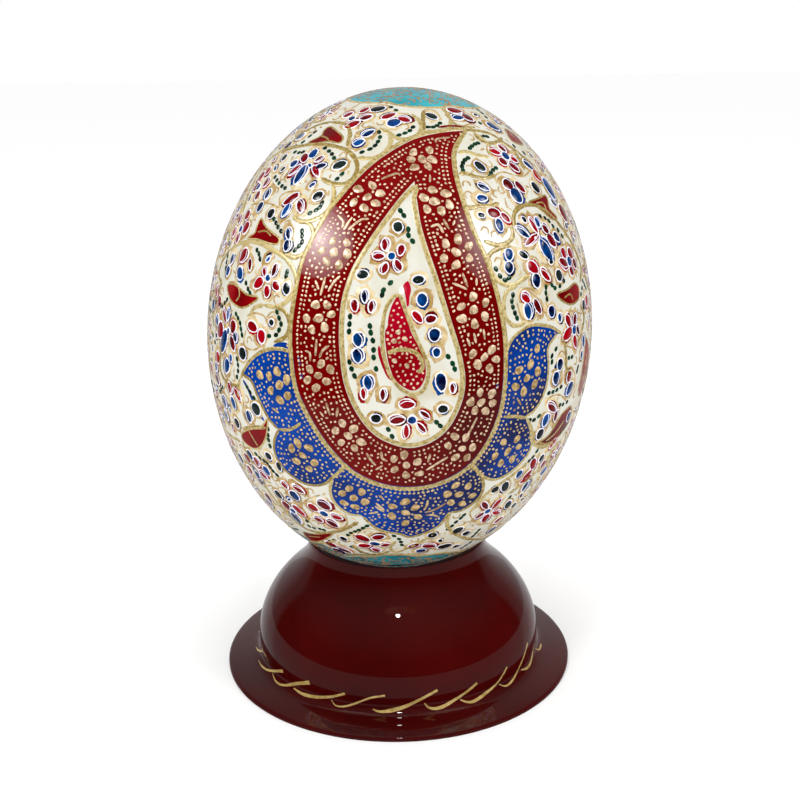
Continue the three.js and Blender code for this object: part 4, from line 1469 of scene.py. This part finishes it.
STROKE_LIFT_MM = 0.08
STROKE_STEP_MM = 0.9
NEAREST_MM = 300.0
FARTHEST_MM = 520
SEEK_STEP_MM = 0.1
STROKES_PX = [
    ([(256, 647), (259, 650.5), (263, 651.5), (266, 656)], 0.6, 1.0),
    ([(258.5, 660), (263, 667), (270, 670.5), (283, 671)], 0.45, 1.25),
    ([(272.5, 673), (276, 681), (283, 685), (297, 683.5), (309.5, 682.5)], 0.5, 1.55),
    ([(294, 688), (303, 694), (318, 697), (332, 696.5), (345, 693.5)], 1.2, 0.9),
    ([(331.5, 700), (335, 705), (343, 706.5), (355, 703.5), (370, 698), (385, 695.5)], 0.6, 0.8),
    ([(373, 709), (379, 711.5), (388, 711), (405, 706.5), (420, 699.5), (437.5, 690)], 1.45, 1.0),
    ([(424.5, 703), (428, 707), (436, 708.5), (446, 705), (462, 695), (477, 683)], 1.2, 1.05),
    ([(460, 699.5), (467, 702), (474, 701), (485, 693.5), (497, 683), (507, 667)], 1.25, 0.8),
    ([(499, 684), (504, 686), (509, 684), (516, 674), (522, 661), (527.5, 643)], 0.8, 0.8),
    ([(521, 670), (527, 668), (531, 661), (533, 651)], 0.8, 0.8),
    ([(535, 648), (539, 649.5), (541, 644)], 0.7, 0.6)]
STROKE_DEEP = (0.36, 0.235, 0.06, 1)
STROKE_PALE = (0.66, 0.48, 0.19, 1)

face = stand_face()
face_runs = [0.0]
for below, above in zip(face, face[1:]):
    face_runs.append(face_runs[-1] + (above - below).length)


def on_face(turn, run, lift):
    """The place and the outward way at a turn from the front and a run up the stand's outer face."""
    i = 1
    while i < len(face) - 1 and face_runs[i] < run:
        i += 1
    part = (run - face_runs[i - 1]) / (face_runs[i] - face_runs[i - 1])
    spot = face[i - 1].lerp(face[i], part)
    up = (face[i] - face[i - 1]).normalized()
    out = Vector((up.y * math.sin(turn), -up.y * math.cos(turn), -up.x))
    foot = Vector((STAND_AXIS_MM + spot.x * math.sin(turn), -spot.x * math.cos(turn), spot.y))
    return foot + out * lift, out


def seen_on_stand(px, py):
    """Turn from the front, and run up the outer face, of the place seen at a pixel."""
    aside = view_right * (px - PICTURE_MIDDLE_PX[0]) / FOCAL_PX
    above = view_up * (PICTURE_MIDDLE_PX[1] - py) / FOCAL_PX
    ray = (aside + above - view_back).normalized()
    far = NEAREST_MM
    while far < FARTHEST_MM:
        spot = camera_place + ray * far
        reach = math.hypot(spot.x - STAND_AXIS_MM, spot.y)
        for i in range(1, len(face)):
            if face[i - 1].y <= spot.z < face[i].y:
                part = (spot.z - face[i - 1].y) / (face[i].y - face[i - 1].y)
                if reach < face[i - 1].lerp(face[i], part).x:
                    run = face_runs[i - 1] + part * (face_runs[i] - face_runs[i - 1])
                    return Vector((math.atan2(spot.x - STAND_AXIS_MM, -spot.y), run))
        far += SEEK_STEP_MM
    return Vector((0, face_runs[-1]))


def stand_stroke(pixels, first, last, half_turn):
    """A brush stroke along pixels on the stand's face, from one width to another."""
    marks = [seen_on_stand(*pixel) for pixel in pixels]
    path = []
    for i in range(len(marks) - 1):
        p1 = marks[i]
        p2 = marks[i + 1]
        p0 = marks[i - 1] if i else p1 * 2 - p2
        p3 = marks[i + 2] if i + 2 < len(marks) else p2 * 2 - p1
        length = Vector(((p2.x - p1.x) * DOME_MM, p2.y - p1.y)).length
        pieces = max(2, round(length / STROKE_STEP_MM))
        for k in range(pieces + (i + 2 == len(marks))):
            t = k / pieces
            path.append(0.5 * (p1 * 2 + (p2 - p0) * t + (p0 * 2 - p1 * 5 + p2 * 4 - p3) * t ** 2
                               + (p1 * 3 - p0 - p2 * 3 + p3) * t ** 3))
    points = []
    normals = []
    for i, mark in enumerate(path):
        along = path[min(i + 1, len(path) - 1)] - path[max(i - 1, 0)]
        along = Vector((along.x * DOME_MM, along.y)).normalized()
        t = i / (len(path) - 1)
        wide = first * (1 - t) + last * t
        wide *= 0.35 + 0.65 * min(1, 4 * t) if t < 0.25 else 1
        side = Vector((-along.y / DOME_MM, along.x)) * wide / 2
        for reach, lift in ((-1, -BURIED_MM), (-0.66, STROKE_LIFT_MM),
                            (0.66, STROKE_LIFT_MM), (1, -BURIED_MM)):
            spot, out = on_face(mark.x + side.x * reach + half_turn, mark.y + side.y * reach, lift)
            points.append(spot * MM)
            normals.append(out)
    faces = [(0, 1, 2, 3)]
    for a in range(0, 4 * (len(path) - 1), 4):
        for k in range(4):
            m = (k + 1) % 4
            faces.append((a + k, a + 4 + k, a + 4 + m, a + m))
    last = 4 * (len(path) - 1)
    faces.append((last + 3, last + 2, last + 1, last))
    return points, normals, faces


stroke_points = []
stroke_normals = []
stroke_faces = []
for half_turn in (0, math.pi):
    for pixels, first, last in STROKES_PX:
        points, normals, faces = stand_stroke(pixels, first, last, half_turn)
        start = len(stroke_points)
        stroke_points += points
        stroke_normals += normals
        stroke_faces += [tuple(start + i for i in f) for f in faces]
mesh = bpy.data.meshes.new("stand_strokes")
mesh.from_pydata(stroke_points, [], stroke_faces)
mesh.attributes.new("tone", "FLOAT", "POINT").data.foreach_set("value", [0.5] * len(stroke_points))
mesh.polygons.foreach_set("use_smooth", [True] * len(mesh.polygons))
mesh.normals_split_custom_set_from_vertices(stroke_normals)
mesh.materials.append(paint("stroke_gold", STROKE_DEEP, STROKE_PALE, 0.4, 500, 0.5, 0.2))
strokes = bpy.data.objects.new("stand_strokes", mesh)
bpy.context.scene.collection.objects.link(strokes)
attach(strokes, "root")


# ---- Lights and floor -------------------------------------------------------
# A plain pale floor, a tall soft light at each side and a wide one above.

FLOOR_M = 12
floor_pale = bpy.data.materials.new("floor_pale")
floor_pale.use_nodes = True
shader = floor_pale.node_tree.nodes["Principled BSDF"]
shader.inputs["Base Color"].default_value = (1, 1, 1, 1)
shader.inputs["Roughness"].default_value = 0.7
shader.inputs["Specular IOR Level"].default_value = 0
deselect_all()
bpy.ops.mesh.primitive_plane_add(size=FLOOR_M, location=(0, 0, 0))
floor = bpy.context.object
floor.name = "floor"
floor.data.materials.append(floor_pale)
floor.visible_glossy = False


def soft_light(name, place, aim, wide, high, watts):
    """A soft panel of light, which lights the paint but isn't mirrored in the varnish."""
    lamp = bpy.data.lights.new(name, "AREA")
    lamp.shape = "ELLIPSE"
    lamp.size = wide
    lamp.size_y = high
    lamp.energy = watts
    light = bpy.data.objects.new(name, lamp)
    light.location = place
    light.rotation_euler = (Vector(aim) - Vector(place)).to_track_quat("-Z", "Y").to_euler()
    light.visible_camera = False
    light.visible_glossy = False
    bpy.context.scene.collection.objects.link(light)
    return light


soft_light("light_left", (-0.62, -0.62, 0.62), (0, 0, 0.12), 0.30, 0.42, 2.2)
soft_light("light_right", (0.80, -0.42, 0.60), (0, 0, 0.12), 0.16, 0.50, 1.8)
soft_light("light_above", (0, -0.10, 1.3), (0, 0, 0.1), 0.8, 0.8, 2.0)

# What the varnish and the lacquer mirror: a glow at each side of the egg, made
# of rings that fade at the rim, the pale table all round, a small lamp above
# the camera, seen in the egg, and a higher one, seen in the stand.

GLOW_RINGS = 10
GLOW_FADE = 2.2
GLOW_STEP = 0.001
GLOW_AIM = (0, -0.03, 0.155)
GLOW_LEFT = ((-0.370, -0.237, 0.432), 0.42, 0.26, 24.0)
GLOW_RIGHT = ((0.397, -0.221, 0.411), 0.40, 0.335, 13.0)
TABLE_SHINE = 0.2
TABLE_WIDE = 0.7
TABLE_RISE = 0.0004
LAMP_PLACE = (0.003, -0.394, 0.267)
LAMP_AIM = (0, 0, 0.1)
LAMP_WIDE = 0.012
LAMP_WATTS = 0.045
HIGH_LAMP_PLACE = (-0.002, -0.225, 0.50)
HIGH_LAMP_AIM = (0, 0, 0.03)
HIGH_LAMP_WIDE = 0.023
HIGH_LAMP_WATTS = 0.165


def gathered(name, pieces):
    """A collection of the pieces that one kind of light falls on."""
    group = bpy.data.collections.new(name)
    for piece in pieces:
        group.objects.link(piece)
    return group


def mirrored_light(name, place, aim, wide, high, watts, group):
    """A panel of light that is only mirrored, in one group of pieces."""
    light = soft_light(name, place, aim, wide, high, watts)
    light.visible_diffuse = False
    light.visible_glossy = True
    light.light_linking.receiver_collection = group


meshes = [piece for piece in bpy.context.scene.objects if piece.type == "MESH"]
cap_names = ("turquoise_caps", "rust_worms", "cap_lines")
varnished = gathered("varnished_egg", [piece for piece in meshes if piece not in (floor, stand, strokes)])
above_table = gathered("above_table", [piece for piece in meshes
                                       if piece != floor and piece.name not in cap_names])
lacquered = gathered("lacquered_stand", [stand, strokes])
for side, (place, wide, high, shine) in (("left", GLOW_LEFT), ("right", GLOW_RIGHT)):
    ahead = (Vector(GLOW_AIM) - Vector(place)).normalized() * GLOW_STEP
    for i in range(GLOW_RINGS):
        part = ((i + 1) / GLOW_RINGS) ** GLOW_FADE
        watts = shine / GLOW_RINGS * math.pi * math.pi / 4 * wide * high * part ** 2
        nearer = Vector(place) + ahead * (GLOW_RINGS - i)
        mirrored_light("glow_%s_%d" % (side, i), nearer, GLOW_AIM, wide * part, high * part, watts, varnished)
table_watts = TABLE_SHINE * math.pi * math.pi / 4 * TABLE_WIDE ** 2
mirrored_light("table_shine", (0, 0, TABLE_RISE), (0, 0, 1), TABLE_WIDE, TABLE_WIDE, table_watts, above_table)
mirrored_light("lamp_front", LAMP_PLACE, LAMP_AIM, LAMP_WIDE, LAMP_WIDE, LAMP_WATTS, varnished)
mirrored_light("lamp_high", HIGH_LAMP_PLACE, HIGH_LAMP_AIM, HIGH_LAMP_WIDE, HIGH_LAMP_WIDE, HIGH_LAMP_WATTS,
               lacquered)

# The sky: white to the eye and as light, but dim in front where it is mirrored,
# brighter behind and above, and none from below.

SKY_SEEN = 1.0
SKY_LIGHT = 0.98
SKY_FRONT = 0.012
SKY_ASIDE = 0.12
SKY_BEHIND = 0.32
SKY_ABOVE = 0.10
SKY_RAMPS = (("Y", 0.42, 0.52, SKY_ASIDE), ("Y", 0.6, 0.9, SKY_BEHIND), ("Z", 0.3, 0.9, SKY_ABOVE))
SKY_LOWEST = -0.62
SKY_FULL_FROM = -0.5
world = bpy.data.worlds.new("studio")
world.use_nodes = True
nodes = world.node_tree.nodes
links = world.node_tree.links
way = nodes.new("ShaderNodeTexCoord")
parts = nodes.new("ShaderNodeSeparateXYZ")
links.new(way.outputs["Generated"], parts.inputs["Vector"])
gate = remapped(nodes, links, parts.outputs["Z"], SKY_LOWEST, SKY_FULL_FROM, 0.0, 1.0)
mirrored = None
for axis, start, end, strength in SKY_RAMPS:
    ramp = remapped(nodes, links, parts.outputs[axis], start, end, 0.0, strength)
    held = nodes.new("ShaderNodeMath")
    held.operation = "MULTIPLY"
    links.new(ramp, held.inputs[0])
    links.new(gate, held.inputs[1])
    join = nodes.new("ShaderNodeMath")
    join.operation = "ADD"
    join.inputs[0].default_value = SKY_FRONT
    if mirrored:
        links.new(mirrored, join.inputs[0])
    links.new(held.outputs["Value"], join.inputs[1])
    mirrored = join.outputs["Value"]
ray = nodes.new("ShaderNodeLightPath")
sky = remapped(nodes, links, ray.outputs["Is Camera Ray"], 0.0, 1.0, SKY_LIGHT, SKY_SEEN)
gloss = nodes.new("ShaderNodeMapRange")
links.new(ray.outputs["Is Glossy Ray"], gloss.inputs["Value"])
links.new(sky, gloss.inputs["To Min"])
links.new(mirrored, gloss.inputs["To Max"])
links.new(gloss.outputs["Result"], nodes["Background"].inputs["Strength"])
nodes["Background"].inputs["Color"].default_value = (1, 1, 1, 1)
bpy.context.scene.world = world
bpy.context.scene.view_settings.view_transform = "Standard"
